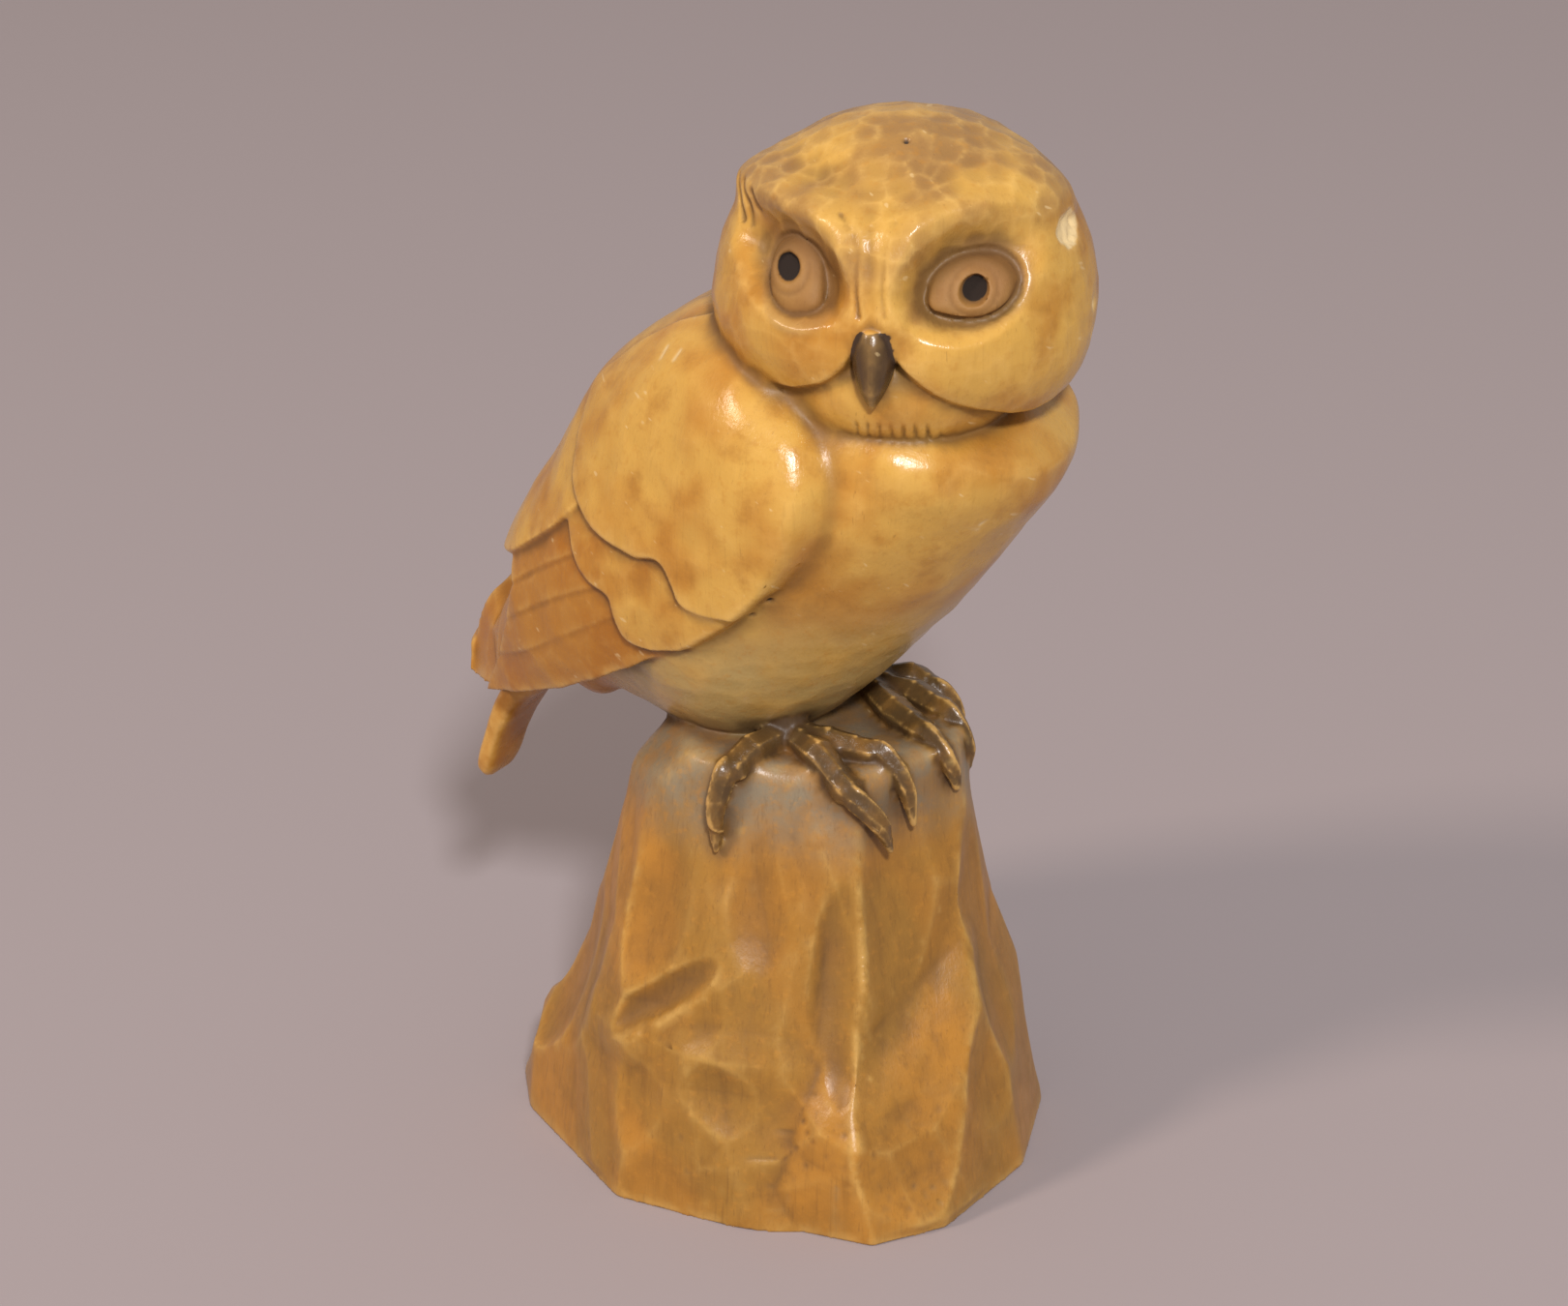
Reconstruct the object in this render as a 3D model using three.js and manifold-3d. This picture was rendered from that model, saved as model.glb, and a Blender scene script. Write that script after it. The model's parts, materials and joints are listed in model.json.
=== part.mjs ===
// A little owl carved with its rock from one block of wood.
//
// Units are millimetres, +Z is up. The origin is under the middle of the rock, on the face it stands on.
// The owl turns its head towards -Y, and its body is turned away from that by headingDeg.

import * as THREE from "three";
import { mergeVertices } from "three/addons/utils/BufferGeometryUtils.js";
import { ParametricGeometry } from "three/addons/geometries/ParametricGeometry.js";
import Module from "manifold-3d";

const wasm = await Module();
wasm.setup();

// Driving sizes
const headingDeg = 60;
const bodyOrigin = new THREE.Vector3(12, 1, 0);

const head = {
  centre: new THREE.Vector3(31, -10, 250.5),
  radii: new THREE.Vector3(49, 47, 47), // to the side, to the front, up
  radiusDown: 44,
  yawDeg: -10.5,
  facets: 12,
  frontCrowding: 0.64,
  forwardPush: 0.3, // how far the carving is pushed forward rather than square to the ball
  carvedFrom: [-16, 8], // how far to the front the carving fades in
};

const eye = {
  side: 20.3, middle: -0.8, forward: 28.2, up: 15.3, tilt: 0.6, radii: [11.8, 8.2, 8.7], facets: [12, 8],
  pupil: { side: 23.8, middle: -0.3, radius: 3.2, depth: 2.4 },
};

const rad = THREE.MathUtils.degToRad;
const { lerp, clamp, smoothstep } = THREE.MathUtils;

// The owl's body has axes of its own: ahead, to its right side, and up.
const ahead = new THREE.Vector3(Math.sin(rad(headingDeg)), -Math.cos(rad(headingDeg)), 0);
const rightSide = new THREE.Vector3(-Math.cos(rad(headingDeg)), -Math.sin(rad(headingDeg)), 0);

function onBody([along, side, up]) {
  const point = bodyOrigin.clone();
  point.addScaledVector(ahead, along);
  point.addScaledVector(rightSide, side);
  point.z += up;
  return point;
}

// Value at x of a smooth curve through keys, each a list of x and then one or more values.
function through(keys, x) {
  const last = keys.length - 1;
  const at = clamp(x, keys[0][0], keys[last][0]);
  let i = 0;
  while (i < last - 1 && keys[i + 1][0] <= at) i += 1;
  const step = keys[i + 1][0] - keys[i][0];
  const t = (at - keys[i][0]) / step;
  const slope = (k, c) => {
    const a = Math.max(k - 1, 0);
    const b = Math.min(k + 1, last);
    return (keys[b][c] - keys[a][c]) / (keys[b][0] - keys[a][0]);
  };
  const values = [];
  for (let c = 1; c < keys[0].length; c += 1) {
    const rise = (2 * t ** 3 - 3 * t ** 2 + 1) * keys[i][c] + (3 * t ** 2 - 2 * t ** 3) * keys[i + 1][c];
    const bend = (t ** 3 - 2 * t ** 2 + t) * slope(i, c) + (t ** 3 - t ** 2) * slope(i + 1, c);
    values.push(rise + step * bend);
  }
  return values;
}

// A closed mesh as a solid. Its points are merged, flat triangles are dropped, and it faces out.
function solidOf(geometry, reach = 1e-4) {
  const bare = geometry.clone();
  bare.deleteAttribute("normal");
  bare.deleteAttribute("uv");
  const merged = mergeVertices(bare, reach);
  const place = merged.getAttribute("position");
  const index = merged.getIndex().array;
  const triangles = [];
  let volume = 0;
  const [a, b, c] = [new THREE.Vector3(), new THREE.Vector3(), new THREE.Vector3()];
  for (let i = 0; i < index.length; i += 3) {
    const corner = [index[i], index[i + 1], index[i + 2]];
    if (new Set(corner).size < 3) continue;
    triangles.push(...corner);
    a.fromBufferAttribute(place, corner[0]);
    b.fromBufferAttribute(place, corner[1]);
    c.fromBufferAttribute(place, corner[2]);
    volume += a.dot(b.cross(c));
  }
  const triVerts = new Uint32Array(volume < 0 ? triangles.reverse() : triangles);
  const vertProperties = new Float32Array(place.array);
  return new wasm.Manifold(new wasm.Mesh({ numProp: 3, vertProperties, triVerts }));
}

function joined(solids) {
  return solids.reduce((all, next) => all.add(next));
}

// A closed skin: place(u, v) for u from one end to the other and v once round. Each end is drawn
// together to the middle of its own ring.
function skin(place, rows, columns) {
  const target = (v, u, point) => {
    point.copy(place(u, v % 1));
    if (u === 0 || u === 1) point.copy(place(u, 0)).lerp(place(u, 0.5), 0.5);
  };
  return solidOf(new ParametricGeometry(target, columns, rows));
}

const worldAxes = [new THREE.Vector3(1, 0, 0), new THREE.Vector3(0, 1, 0), new THREE.Vector3(0, 0, 1)];

function ellipsoid(centre, radii, axes, facets) {
  const ball = new THREE.SphereGeometry(1, ...facets);
  ball.applyMatrix4(new THREE.Matrix4().makeScale(...radii));
  ball.applyMatrix4(new THREE.Matrix4().makeBasis(...axes));
  ball.translate(...centre.toArray());
  return solidOf(ball);
}

// Rock

// Each cut takes away what lies beyond a plane: azimuth of its normal, lean above level, distance.
const rockCore = [
  [-172, 5, 71.5], [-150, 8, 62.3], [-115, 5, 61], [-104, 3, 62.6], [-66, 6, 73.4], [-36, 7, 71],
  [-12, 9, 71], [22, 8, 70.5], [58, 8, 67.5], [98, 8, 66], [138, 8, 68.5],
  [-97, 15, 64.5], [-163, 13.4, 64.9], [-122, 15, 65.8], [-90, 12, 61.8], [-53, 10.6, 63.5], [-8, 8, 65.5],
  [30, 12, 67], [75, 15, 68], [120, 16, 68], [165, 13.4, 65.5],
  [-172, 42, 105.5], [-135, 40, 109], [-100, 42, 110], [-60, 38, 110], [-20, 42, 119], [20, 40, 118],
  [70, 38, 116], [120, 40, 116], [-60, 86, 126.5], [150, 80, 127], [159, 38, 99.5],
];
const rockRightSpur = [
  [-61, 24, 72.6], [-36, 7, 71], [-12, 9, 70.5], [-15, 18, 73.5], [22, 8, 69.8], [-66, 6, 73.4],
  [-120, 20, 54.5], [-110, 0, 57.9], [30, 20, 73], [100, 0, 20], [180, 0, 10],
];
const rockLeftSpur = [
  [-172, 5, 71.5], [-150, 8, 62.3], [-115, 5, 61], [-178, 27, 72.6], [-148, 22, 69.5], [138, 8, 68],
  [150, 25, 72.5], [60, 0, 10], [-60, 0, 5],
];
const blockSize = 400;

function boulder(cuts) {
  const block = new THREE.BoxGeometry(blockSize, blockSize, blockSize);
  block.translate(0, 0, blockSize / 2);
  let stone = solidOf(block);
  for (const [azimuth, lean, distance] of cuts) {
    const waste = new THREE.BoxGeometry(2 * blockSize, 4 * blockSize, 4 * blockSize);
    waste.translate(blockSize + distance, 0, 0);
    waste.rotateY(-rad(lean));
    waste.rotateZ(rad(azimuth));
    stone = stone.subtract(solidOf(waste));
  }
  return stone;
}

// Gouge cuts: azimuth, height, half length, half width, turn of the long way from level, depth.
const gouged = [
  [-125, 63.5, 25, 6.5, 34, 3.2], [-133, 87, 24, 13, 85, 2], [-97, 92, 22, 10, 88, 1.8],
  [-77, 66, 24, 7, 82, 2.2], [-53, 80, 32, 13, 78, 2.5], [-60, 30, 22, 15, 70, 1.6],
  [-34, 28, 20, 13, 90, 1.6], [-131, 25, 19, 15, 0, 1.8], [-104, 35, 20, 10, -8, 1.8],
  [-163, 55, 28, 9, 88, 1.5], [-18, 60, 26, 12, 92, 1.6],
];
const gouge = { round: 12, leanDeg: 14, facets: [8, 6] };
// The worn seat between the feet, part of a flat ball.
const seat = { centre: new THREE.Vector3(22, -8, 136.5), radii: [34, 26, 13], facets: [12, 8] };

// How far out the uncut stones reach at an azimuth and a height.
function rockRadius(azimuth, height) {
  const reaches = [rockCore, rockRightSpur, rockLeftSpur].map((cuts) => {
    const toCuts = cuts.map(([turn, lean, distance]) => {
      const slope = Math.cos(rad(lean)) * Math.cos(rad(azimuth - turn));
      return slope > 0.05 ? (distance - Math.sin(rad(lean)) * height) / slope : Infinity;
    });
    return Math.min(...toCuts);
  });
  return Math.max(...reaches);
}

// What a gouge cut takes away: a flat ball sunk by its depth into the face.
function gougeCut([azimuth, height, long, wide, turn, depth]) {
  const footprint = Math.sqrt(1 - (1 - depth / gouge.round) ** 2);
  const ball = new THREE.SphereGeometry(1, ...gouge.facets);
  ball.scale(gouge.round, long / footprint, wide / footprint);
  ball.rotateX(rad(turn));
  ball.rotateY(-rad(gouge.leanDeg));
  const away = gouge.round - depth;
  const out = rockRadius(azimuth, height) + away * Math.cos(rad(gouge.leanDeg));
  ball.translate(out, 0, height + away * Math.sin(rad(gouge.leanDeg)));
  ball.rotateZ(rad(azimuth));
  return solidOf(ball);
}

function rock() {
  const whole = joined([rockCore, rockRightSpur, rockLeftSpur].map(boulder));
  const hollow = ellipsoid(seat.centre, seat.radii, worldAxes, seat.facets);
  return [...gouged.map(gougeCut), hollow].reduce((stone, cut) => stone.subtract(cut), whole);
}

// Trunk: for each station the back line and the breast line, along and up, and the half width.
const trunkStations = [
  [0.0, -97, 128, -94, 122, 1],
  [0.1, -92, 142, -73.5, 114.2, 9.8],
  [0.25, -82, 165, -59.6, 118.5, 17.8],
  [0.42, -69, 190, -21.5, 115.6, 38],
  [0.6, -50, 214, -0.6, 124.8, 51],
  [0.78, -25, 232, 29.6, 155.5, 50.6],
  [0.9, 2, 239, 55.5, 190, 46],
  [0.97, 26, 238, 66.5, 211, 34],
  [1.0, 45, 234, 58, 224, 1],
];

function trunkPoint(u, v) {
  const [backAlong, backUp, breastAlong, breastUp, width] = through(trunkStations, u);
  const turn = 2 * Math.PI * v;
  const across = Math.cos(turn) / 2;
  return onBody([
    (backAlong + breastAlong) / 2 + (backAlong - breastAlong) * across,
    width * Math.sin(turn),
    (backUp + breastUp) / 2 + (backUp - breastUp) * across,
  ]);
}

// Wing: a surface between its lower edge and its upper edge, u from the shoulder to the tip and w from
// the lower edge up to the back. Rows are u, along, side, up.
const wingLowEdge = [
  [0.0, 2, 33, 234], [0.08, 12, 41, 228], [0.18, 19, 48.5, 219], [0.3, 21.5, 53, 206],
  [0.45, 14.5, 53.5, 187], [0.56, 1.5, 52.5, 173], [0.68, -18, 49.5, 158.5], [0.8, -42, 43, 143],
  [0.9, -70, 32, 127], [1.0, -101, 17, 113],
];
const wingTopEdge = [
  [0.0, -6, 8, 244], [0.15, -21, 8, 242], [0.3, -38, 7, 235], [0.45, -57.5, 6, 219], [0.6, -73, 5, 194],
  [0.75, -87.5, 4, 172], [0.9, -96.5, 4, 151.5], [1.0, -100, 5, 145],
];

// The section is a quarter of an ellipse about the point below the upper edge.
function wingSurface(u, w) {
  const low = through(wingLowEdge, u);
  const top = through(wingTopEdge, u);
  const turn = (w * Math.PI) / 2;
  const middle = [low[0], 0, low[2]];
  return middle.map((m, i) => m + (top[i] - m) * Math.sin(turn) + (low[i] - m) * Math.cos(turn));
}

function wingNormal(u, w) {
  const e = 1e-3;
  const difference = (p, q) => new THREE.Vector3(...p.map((value, i) => value - q[i]));
  const alongWing = difference(wingSurface(Math.min(u + e, 1), w), wingSurface(Math.max(u - e, 0), w));
  const overWing = difference(wingSurface(u, w + e), wingSurface(u, w - e));
  return overWing.cross(alongWing).normalize();
}

// The far wing reaches further back and lies closer in.
const farReach = { shift: [-19.5, -13, -6], way: [0.4, 0.95] };

function onWing(u, w, rise, side, reaching) {
  const normal = wingNormal(u, w).toArray();
  const sign = wingNormal(0.5, 0.4).y > 0 ? 1 : -1;
  const point = wingSurface(u, w).map((value, i) => value + sign * rise * normal[i]);
  if (side < 0 && reaching) {
    const reach = smoothstep(u, ...farReach.way);
    farReach.shift.forEach((shift, i) => {
      point[i] += reach * shift;
    });
  }
  point[1] *= side;
  return onBody(point);
}

// How much of its rise a layer of feathers keeps at its edges.
const edgeRise = 0.6;

// A layer of feathers: area(p, q) gives u and w for p from its root to its tip and q across it.
function layer({ area, rise, depth, rows, columns, side, reaching = true }) {
  const taper = (p, q) => {
    const toEdge = Math.min(q * columns, (1 - q) * columns, (1 - p) * rows);
    return lerp(edgeRise, 1, clamp(toEdge, 0, 1));
  };
  const face = (p, q, offset) => {
    const [u, w] = area(p, q);
    return onWing(u, w, offset(p, q) * taper(p, q), side, reaching);
  };
  const around = 2 * columns + 2;
  const place = (row, turn) => {
    const p = clamp((row * (rows + 2) - 1) / rows, 0, 1);
    if (row === 0 || row === 1) return face(p, 0.5, () => 0);
    const j = Math.round(turn * around) % around;
    const outer = j <= columns;
    return face(p, (outer ? j : around - 1 - j) / columns, outer ? rise : (x, y) => -depth(x, y));
  };
  return skin(place, rows + 2, around);
}

const coverts = {
  middle: {
    end: [[0, 0.66], [0.05, 0.7], [0.11, 0.706], [0.18, 0.685], [0.24, 0.66], [0.31, 0.665], [0.4, 0.65],
      [0.48, 0.625], [0.55, 0.6]],
    root: 0.3, width: [0, 0.55], rise: 2.1, rows: 5, columns: 9,
  },
  upper: {
    end: [[0, 0.545], [0.06, 0.572], [0.11, 0.576], [0.16, 0.556], [0.22, 0.54], [0.27, 0.56], [0.36, 0.576],
      [0.48, 0.575], [0.6, 0.55], [0.8, 0.45]],
    root: 0, width: [0, 0.8], rise: 3.9, rows: 8, columns: 10,
  },
};

function covert({ end, root, width, rise, rows, columns }, side) {
  const area = (p, q) => {
    const w = lerp(...width, q);
    return [lerp(root, through(end, w)[0], p), w];
  };
  return layer({ area, rise: () => rise, depth: () => 7, rows, columns, side });
}

// Four long feathers side by side. Bounds are w at their root and at their tip, and u at their tip.
const quill = {
  rootAt: 0.55,
  rootBounds: [0.0, 0.13, 0.2, 0.33, 0.5],
  tipBounds: [0.03, 0.275, 0.44, 0.53, 0.68],
  tips: [1.0, 0.95, 0.88, 0.81, 0.76],
  farTips: [1.0, 0.99, 0.95, 0.9, 0.84],
  rise: [0.4, 0.8, 1.2, 1.6],
  rootDepth: 9,
  tipDepth: 3.5,
  deeper: 0.4, // each lies this much deeper than the one below it
};

function quills(side) {
  const tips = side > 0 ? quill.tips : quill.farTips;
  return quill.rise.map((rise, k) => {
    const area = (p, q) => {
      const tip = lerp(tips[k], tips[k + 1], q) + 0.04 * q * (1 - q);
      const root = lerp(quill.rootBounds[k], quill.rootBounds[k + 1], q);
      const end = lerp(quill.tipBounds[k], quill.tipBounds[k + 1], q);
      return [lerp(quill.rootAt, Math.min(tip, 1), p), lerp(root, end, p)];
    };
    const depth = (p) => lerp(quill.rootDepth, quill.tipDepth, p) + k * quill.deeper;
    return layer({ area, rise: () => rise, depth, rows: 5, columns: 2, side });
  });
}

// The mantle lies over the roots of both wings and ends in a round lobe on each side.
const mantle = {
  end: [[0.48, 0.52], [0.53, 0.66], [0.6, 0.755], [0.66, 0.79], [0.76, 0.82], [0.86, 0.83], [1.0, 0.81],
    [1.12, 0.79]],
  width: [0.48, 1.1], rise: 3, rows: 8, columns: 6,
};

function mantleHalf(side) {
  const area = (p, q) => {
    const w = lerp(...mantle.width, q);
    return [lerp(0, through(mantle.end, w)[0], p), w];
  };
  const { rows, columns } = mantle;
  return layer({ area, rise: () => mantle.rise, depth: () => 8, rows, columns, side, reaching: false });
}

// The rump fills the back under the feathers of both wings, a little below their surface.
const rump = { from: 0.5, to: 1, sunk: [3, 3.4], side: 0.4, rows: 9, columns: 20 };

function rumpPoint(t, v) {
  const u = lerp(rump.from, rump.to, t);
  const side = v < rump.side ? 1 : -1;
  if (v > 2 * rump.side) {
    const [far, near] = [rumpPoint(t, 2 * rump.side), rumpPoint(t, 0)];
    return far.lerp(near, (v - 2 * rump.side) / (1 - 2 * rump.side));
  }
  const w = side > 0 ? v / rump.side : 2 - v / rump.side;
  const normal = wingNormal(u, clamp(w, 0.01, 0.99));
  const sunk = -Math.sign(normal.y) * lerp(...rump.sunk, t);
  const place = new THREE.Vector3(...wingSurface(u, w)).addScaledVector(normal, sunk);
  const reach = side < 0 ? smoothstep(u, ...farReach.way) * (1 - w ** 3) : 0;
  place.addScaledVector(new THREE.Vector3(...farReach.shift), reach);
  place.y *= side;
  return onBody(place.toArray());
}

// Tail: a tapering slab. Rows are the way along it, along, up, half thickness and half width.
const tailStations = [
  [0.0, -82, 126, 0.5, 0.5], [0.05, -84, 124, 4.5, 10.5], [0.4, -98, 110, 4.4, 10.5],
  [0.7, -105, 97, 3.7, 9.5], [0.95, -110.2, 82.6, 3.2, 8], [1.0, -111.3, 79.8, 0.4, 0.6],
];

const tailLean = rad(48.6);
const tailBlunt = 0.6; // how square its section is

function tailPoint(u, v) {
  const [along, up, thick, wide] = through(tailStations, u);
  const turn = 2 * Math.PI * v;
  const blunt = (x) => Math.sign(x) * Math.abs(x) ** tailBlunt;
  const out = thick * blunt(Math.sin(turn));
  const side = wide * blunt(Math.cos(turn));
  return onBody([along - out * Math.sin(tailLean), side, up + out * Math.cos(tailLean)]);
}

// Head

const headYaw = rad(head.yawDeg);
const faceSide = new THREE.Vector3(Math.cos(headYaw), Math.sin(headYaw), 0);
const faceFront = new THREE.Vector3(Math.sin(headYaw), -Math.cos(headYaw), 0);
const faceUp = new THREE.Vector3(0, 0, 1);
const faceAxes = [faceSide, faceFront, faceUp];

function onHead([side, front, up]) {
  const point = head.centre.clone();
  [side, front, up].forEach((value, i) => point.addScaledVector(faceAxes[i], value));
  return point;
}

// The carver's face leans a little: places on it are measured from its own middle line.
const lean = { middle: -0.7, slope: -0.07, rise: 0.06, bend: -0.0029 };

function facePlace(side, up) {
  const middle = lean.middle + lean.slope * up;
  return [Math.abs(side - middle), up + side * (lean.rise + lean.bend * up)];
}

// The crest of the brow from beside the beak to its outer end: way along it, out from the middle, up.
const browLine = [
  [0, 5.6, 6], [0.18, 6, 18], [0.33, 9, 26], [0.48, 15, 30], [0.62, 23.5, 31.2], [0.8, 34, 30.5], [1, 44, 27],
];
// The lower edge of the round face: out from the middle, up.
const faceEdge = [
  [0, 4], [4, 1], [8, -4.5], [12, -9], [18, -13], [25, -16], [33, -18], [41, -16.5], [47, -10], [52, 2],
];
const carved = {
  socket: { depth: 7, out: 22, up: 15.6, wide: 16.5, high: 12, turnDeg: 15, wall: [0.55, 1.12] },
  brow: { height: 4, above: 9.5, below: 5.2, fall: 2.2, start: 0.35, grown: [0.05, 0.45],
    ending: [0.7, 1], leftEnd: 1.5, rightEnd: 0.9 },
  cheek: { height: 2.6, out: 25, up: -5, wide: 25, high: 16 },
  bridge: { height: 0.8, halfWidth: 4.2, rising: [2, 9], ending: [22, 34] },
  underFace: { depth: 7.5, slope: 4.5, rightLift: 1.8, liftRising: [4, 14], liftEnding: [42, 50] },
};

// How far x, y lies from a line, how far along, and whether it lies on its left.
function nearestOn(line, x, y) {
  const steps = 30;
  let best = { away: Infinity, along: 0, left: false };
  let [ax, ay] = through(line, 0);
  for (let i = 1; i <= steps; i += 1) {
    const [bx, by] = through(line, i / steps);
    const [dx, dy] = [bx - ax, by - ay];
    const t = clamp(((x - ax) * dx + (y - ay) * dy) / (dx * dx + dy * dy), 0, 1);
    const away = Math.hypot(x - ax - t * dx, y - ay - t * dy);
    if (away < best.away) {
      best = { away, along: (i - 1 + t) / steps, left: (y - ay) * dx > (x - ax) * dy };
    }
    [ax, ay] = [bx, by];
  }
  return best;
}

// Height of the carving over the plain ball of the head.
function faceRelief(side, up) {
  const [a, z] = facePlace(side, up);
  const { socket, brow, cheek, bridge, underFace } = carved;
  const turn = rad(socket.turnDeg);
  const p = (a - socket.out) * Math.cos(turn) + (z - socket.up) * Math.sin(turn);
  const q = (z - socket.up) * Math.cos(turn) - (a - socket.out) * Math.sin(turn);
  const hollow = 1 - smoothstep(Math.hypot(p / socket.wide, q / socket.high), ...socket.wall);
  const crest = nearestOn(browLine, a, z);
  const reach = crest.left ? brow.above : brow.below;
  const grown = lerp(brow.start, 1, smoothstep(crest.along, ...brow.grown));
  const end = lerp(grown, side < 0 ? brow.leftEnd : brow.rightEnd, smoothstep(crest.along, ...brow.ending));
  const ridge = Math.exp(-brow.fall * (crest.away / reach) ** 2) * end;
  const puff = Math.max(0, 1 - ((a - cheek.out) / cheek.wide) ** 2 - ((z - cheek.up) / cheek.high) ** 2);
  const tall = smoothstep(z, ...bridge.rising) * (1 - smoothstep(z, ...bridge.ending));
  const nose = Math.exp(-((a / bridge.halfWidth) ** 4)) * tall;
  // The right cheek ends a little higher.
  const onRight = smoothstep(side, ...underFace.liftRising) * (1 - smoothstep(side, ...underFace.liftEnding));
  const lift = underFace.rightLift * onRight;
  const below = smoothstep(through(faceEdge, a)[0] + lift - z, 0, underFace.slope);
  return (
    brow.height * ridge + cheek.height * puff + bridge.height * nose
    - socket.depth * hollow - underFace.depth * below
  );
}

// Draws a direction towards the face, where the carving is finer, without changing small shapes.
function crowdToFront(direction) {
  if (direction.y < -0.999) return direction.clone();
  const x = (head.frontCrowding * direction.x) / (1 + direction.y);
  const z = (head.frontCrowding * direction.z) / (1 + direction.y);
  const size = 1 + x * x + z * z;
  return new THREE.Vector3((2 * x) / size, (2 - size) / size, (2 * z) / size);
}

function headPoint(direction) {
  const d = crowdToFront(direction);
  const radii = head.radii.clone();
  if (d.z < 0) radii.z = head.radiusDown;
  const point = d.clone().multiply(radii);
  const normal = d.clone().divide(radii).normalize().multiplyScalar(1 - head.forwardPush);
  normal.y += head.forwardPush;
  normal.normalize();
  const front = smoothstep(point.y, ...head.carvedFrom);
  point.addScaledVector(normal, front * faceRelief(point.x, point.z));
  return onHead(point.toArray());
}

function skull() {
  const ball = new THREE.IcosahedronGeometry(1, head.facets);
  const place = ball.getAttribute("position");
  for (let i = 0; i < place.count; i += 1) {
    const point = headPoint(new THREE.Vector3().fromBufferAttribute(place, i).normalize());
    place.setXYZ(i, point.x, point.y, point.z);
  }
  return solidOf(ball);
}

function eyeball(side) {
  const { pupil } = eye;
  const up = eye.up - side * eye.tilt;
  const centre = onHead([side * eye.side + eye.middle, eye.forward, up]);
  const ball = ellipsoid(centre, eye.radii, faceAxes, eye.facets);
  const drill = new THREE.CylinderGeometry(pupil.radius, pupil.radius, 2 * pupil.depth, 10);
  drill.rotateZ(headYaw);
  drill.translate(...onHead([side * pupil.side + pupil.middle, eye.forward + eye.radii[1], up]).toArray());
  return ball.subtract(solidOf(drill));
}

// Beak: sections from the brow down. Rows are height, half width, ridge and back, out from the face.
const beakStations = [
  [0, 7.2, 2.6, 47.5, 42], [0.06, 6.2, 4.1, 49, 39], [0.28, 1, 5.3, 51.6, 38], [0.52, -4.6, 4.9, 52.6, 39],
  [0.76, -9.8, 3.3, 51.6, 42], [0.93, -13.6, 1.4, 49.8, 45.5], [1, -15.4, 0.2, 48.4, 48],
];
const beakShift = -0.8;
const beakKeel = 1.3;

function beakPoint(u, v) {
  const [up, wide, ridge, back] = through(beakStations, u);
  const turn = 2 * Math.PI * v;
  const across = Math.sin(turn);
  const out = Math.cos(turn);
  const keel = Math.sign(out) * Math.abs(out) ** beakKeel;
  return onHead([wide * across + beakShift, (ridge + back) / 2 + ((ridge - back) / 2) * keel, up]);
}

// The feathers under the beak stand out as part of a ball.
const throat = { centre: [0.5, 11, -14.5], radii: [32, 35, 22.5], facets: [20, 10] };

// Feet

// How much of a limb's radius its end faces keep.
const roundedEnd = 0.6;

// A tapering limb along a smooth path. Rows are x, y, z and radius.
function limb(rows, rings, sides) {
  const keys = rows.map((row, i) => [i / (rows.length - 1), ...row]);
  const centre = (t) => new THREE.Vector3(...through(keys, t).slice(0, 3));
  const place = (u, v) => {
    const t = clamp((u * (rings + 2) - 1) / rings, 0, 1);
    const at = centre(t);
    if (u === 0 || u === 1) return at;
    const heading = centre(Math.min(t + 0.02, 1)).sub(centre(Math.max(t - 0.02, 0))).normalize();
    const level = new THREE.Vector3(0, 0, 1).cross(heading).normalize();
    const over = heading.clone().cross(level);
    const radius = through(keys, t)[3] * (t === 0 || t === 1 ? roundedEnd : 1);
    const turn = 2 * Math.PI * v;
    return at.addScaledVector(level, radius * Math.cos(turn)).addScaledVector(over, radius * Math.sin(turn));
  };
  return skin(place, rings + 2, sides);
}

// Each toe: ankle, middle joint, knuckle and claw tip.
const feet = [
  { ankle: [1, -17, 128], toes: [
    [[-9, -27, 127], [-15.5, -34, 123.5], [-18, -37.5, 102]],
    [[9, -29, 127], [19, -39.5, 118.5], [28.5, -39, 103]],
    [[12, -23, 127.5], [26, -27.5, 126], [34.5, -32, 107]],
  ] },
  { ankle: [21, 17, 128], toes: [
    [[30, -3, 127], [39, -15, 125], [46.5, -20.5, 112]],
    [[36, 7, 127], [44.5, -2, 125.5], [50, -6, 111]],
    [[35, 19, 127], [43, 14.5, 124], [48, 12.5, 110]],
  ] },
];

// Radii of a leg at the body, ankle and foot, of a toe from ankle to knuckle, and of a claw.
const thick = { leg: [6.5, 5.5, 5], toe: [5, 4.1, 4.6, 4.1, 4.5], claw: [4, 3.1, 0.9] };
const legTop = [-3, 3, 12];
const footDepth = 6;
const clawBend = { way: 0.45, out: 0.06 };

function foot({ ankle, toes }) {
  const half = (a, b) => a.map((value, i) => (value + b[i]) / 2);
  const withRadii = (places, radii) => places.map((place, i) => [...place, radii[i]]);
  const sole = [ankle[0], ankle[1], ankle[2] - footDepth];
  const legPlaces = [ankle.map((value, i) => value + legTop[i]), ankle, sole];
  const parts = [limb(withRadii(legPlaces, thick.leg), 4, 10)];
  for (const [middle, knuckle, tip] of toes) {
    const toePlaces = [ankle, half(ankle, middle), middle, half(middle, knuckle), knuckle];
    parts.push(limb(withRadii(toePlaces, thick.toe), 7, 7));
    const bend = knuckle.map((value, i) => lerp(value, tip[i], clawBend.way));
    bend[0] += (tip[0] - ankle[0]) * clawBend.out;
    bend[1] += (tip[1] - ankle[1]) * clawBend.out;
    parts.push(limb(withRadii([knuckle, bend, tip], thick.claw), 4, 5));
  }
  return joined(parts);
}

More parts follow.
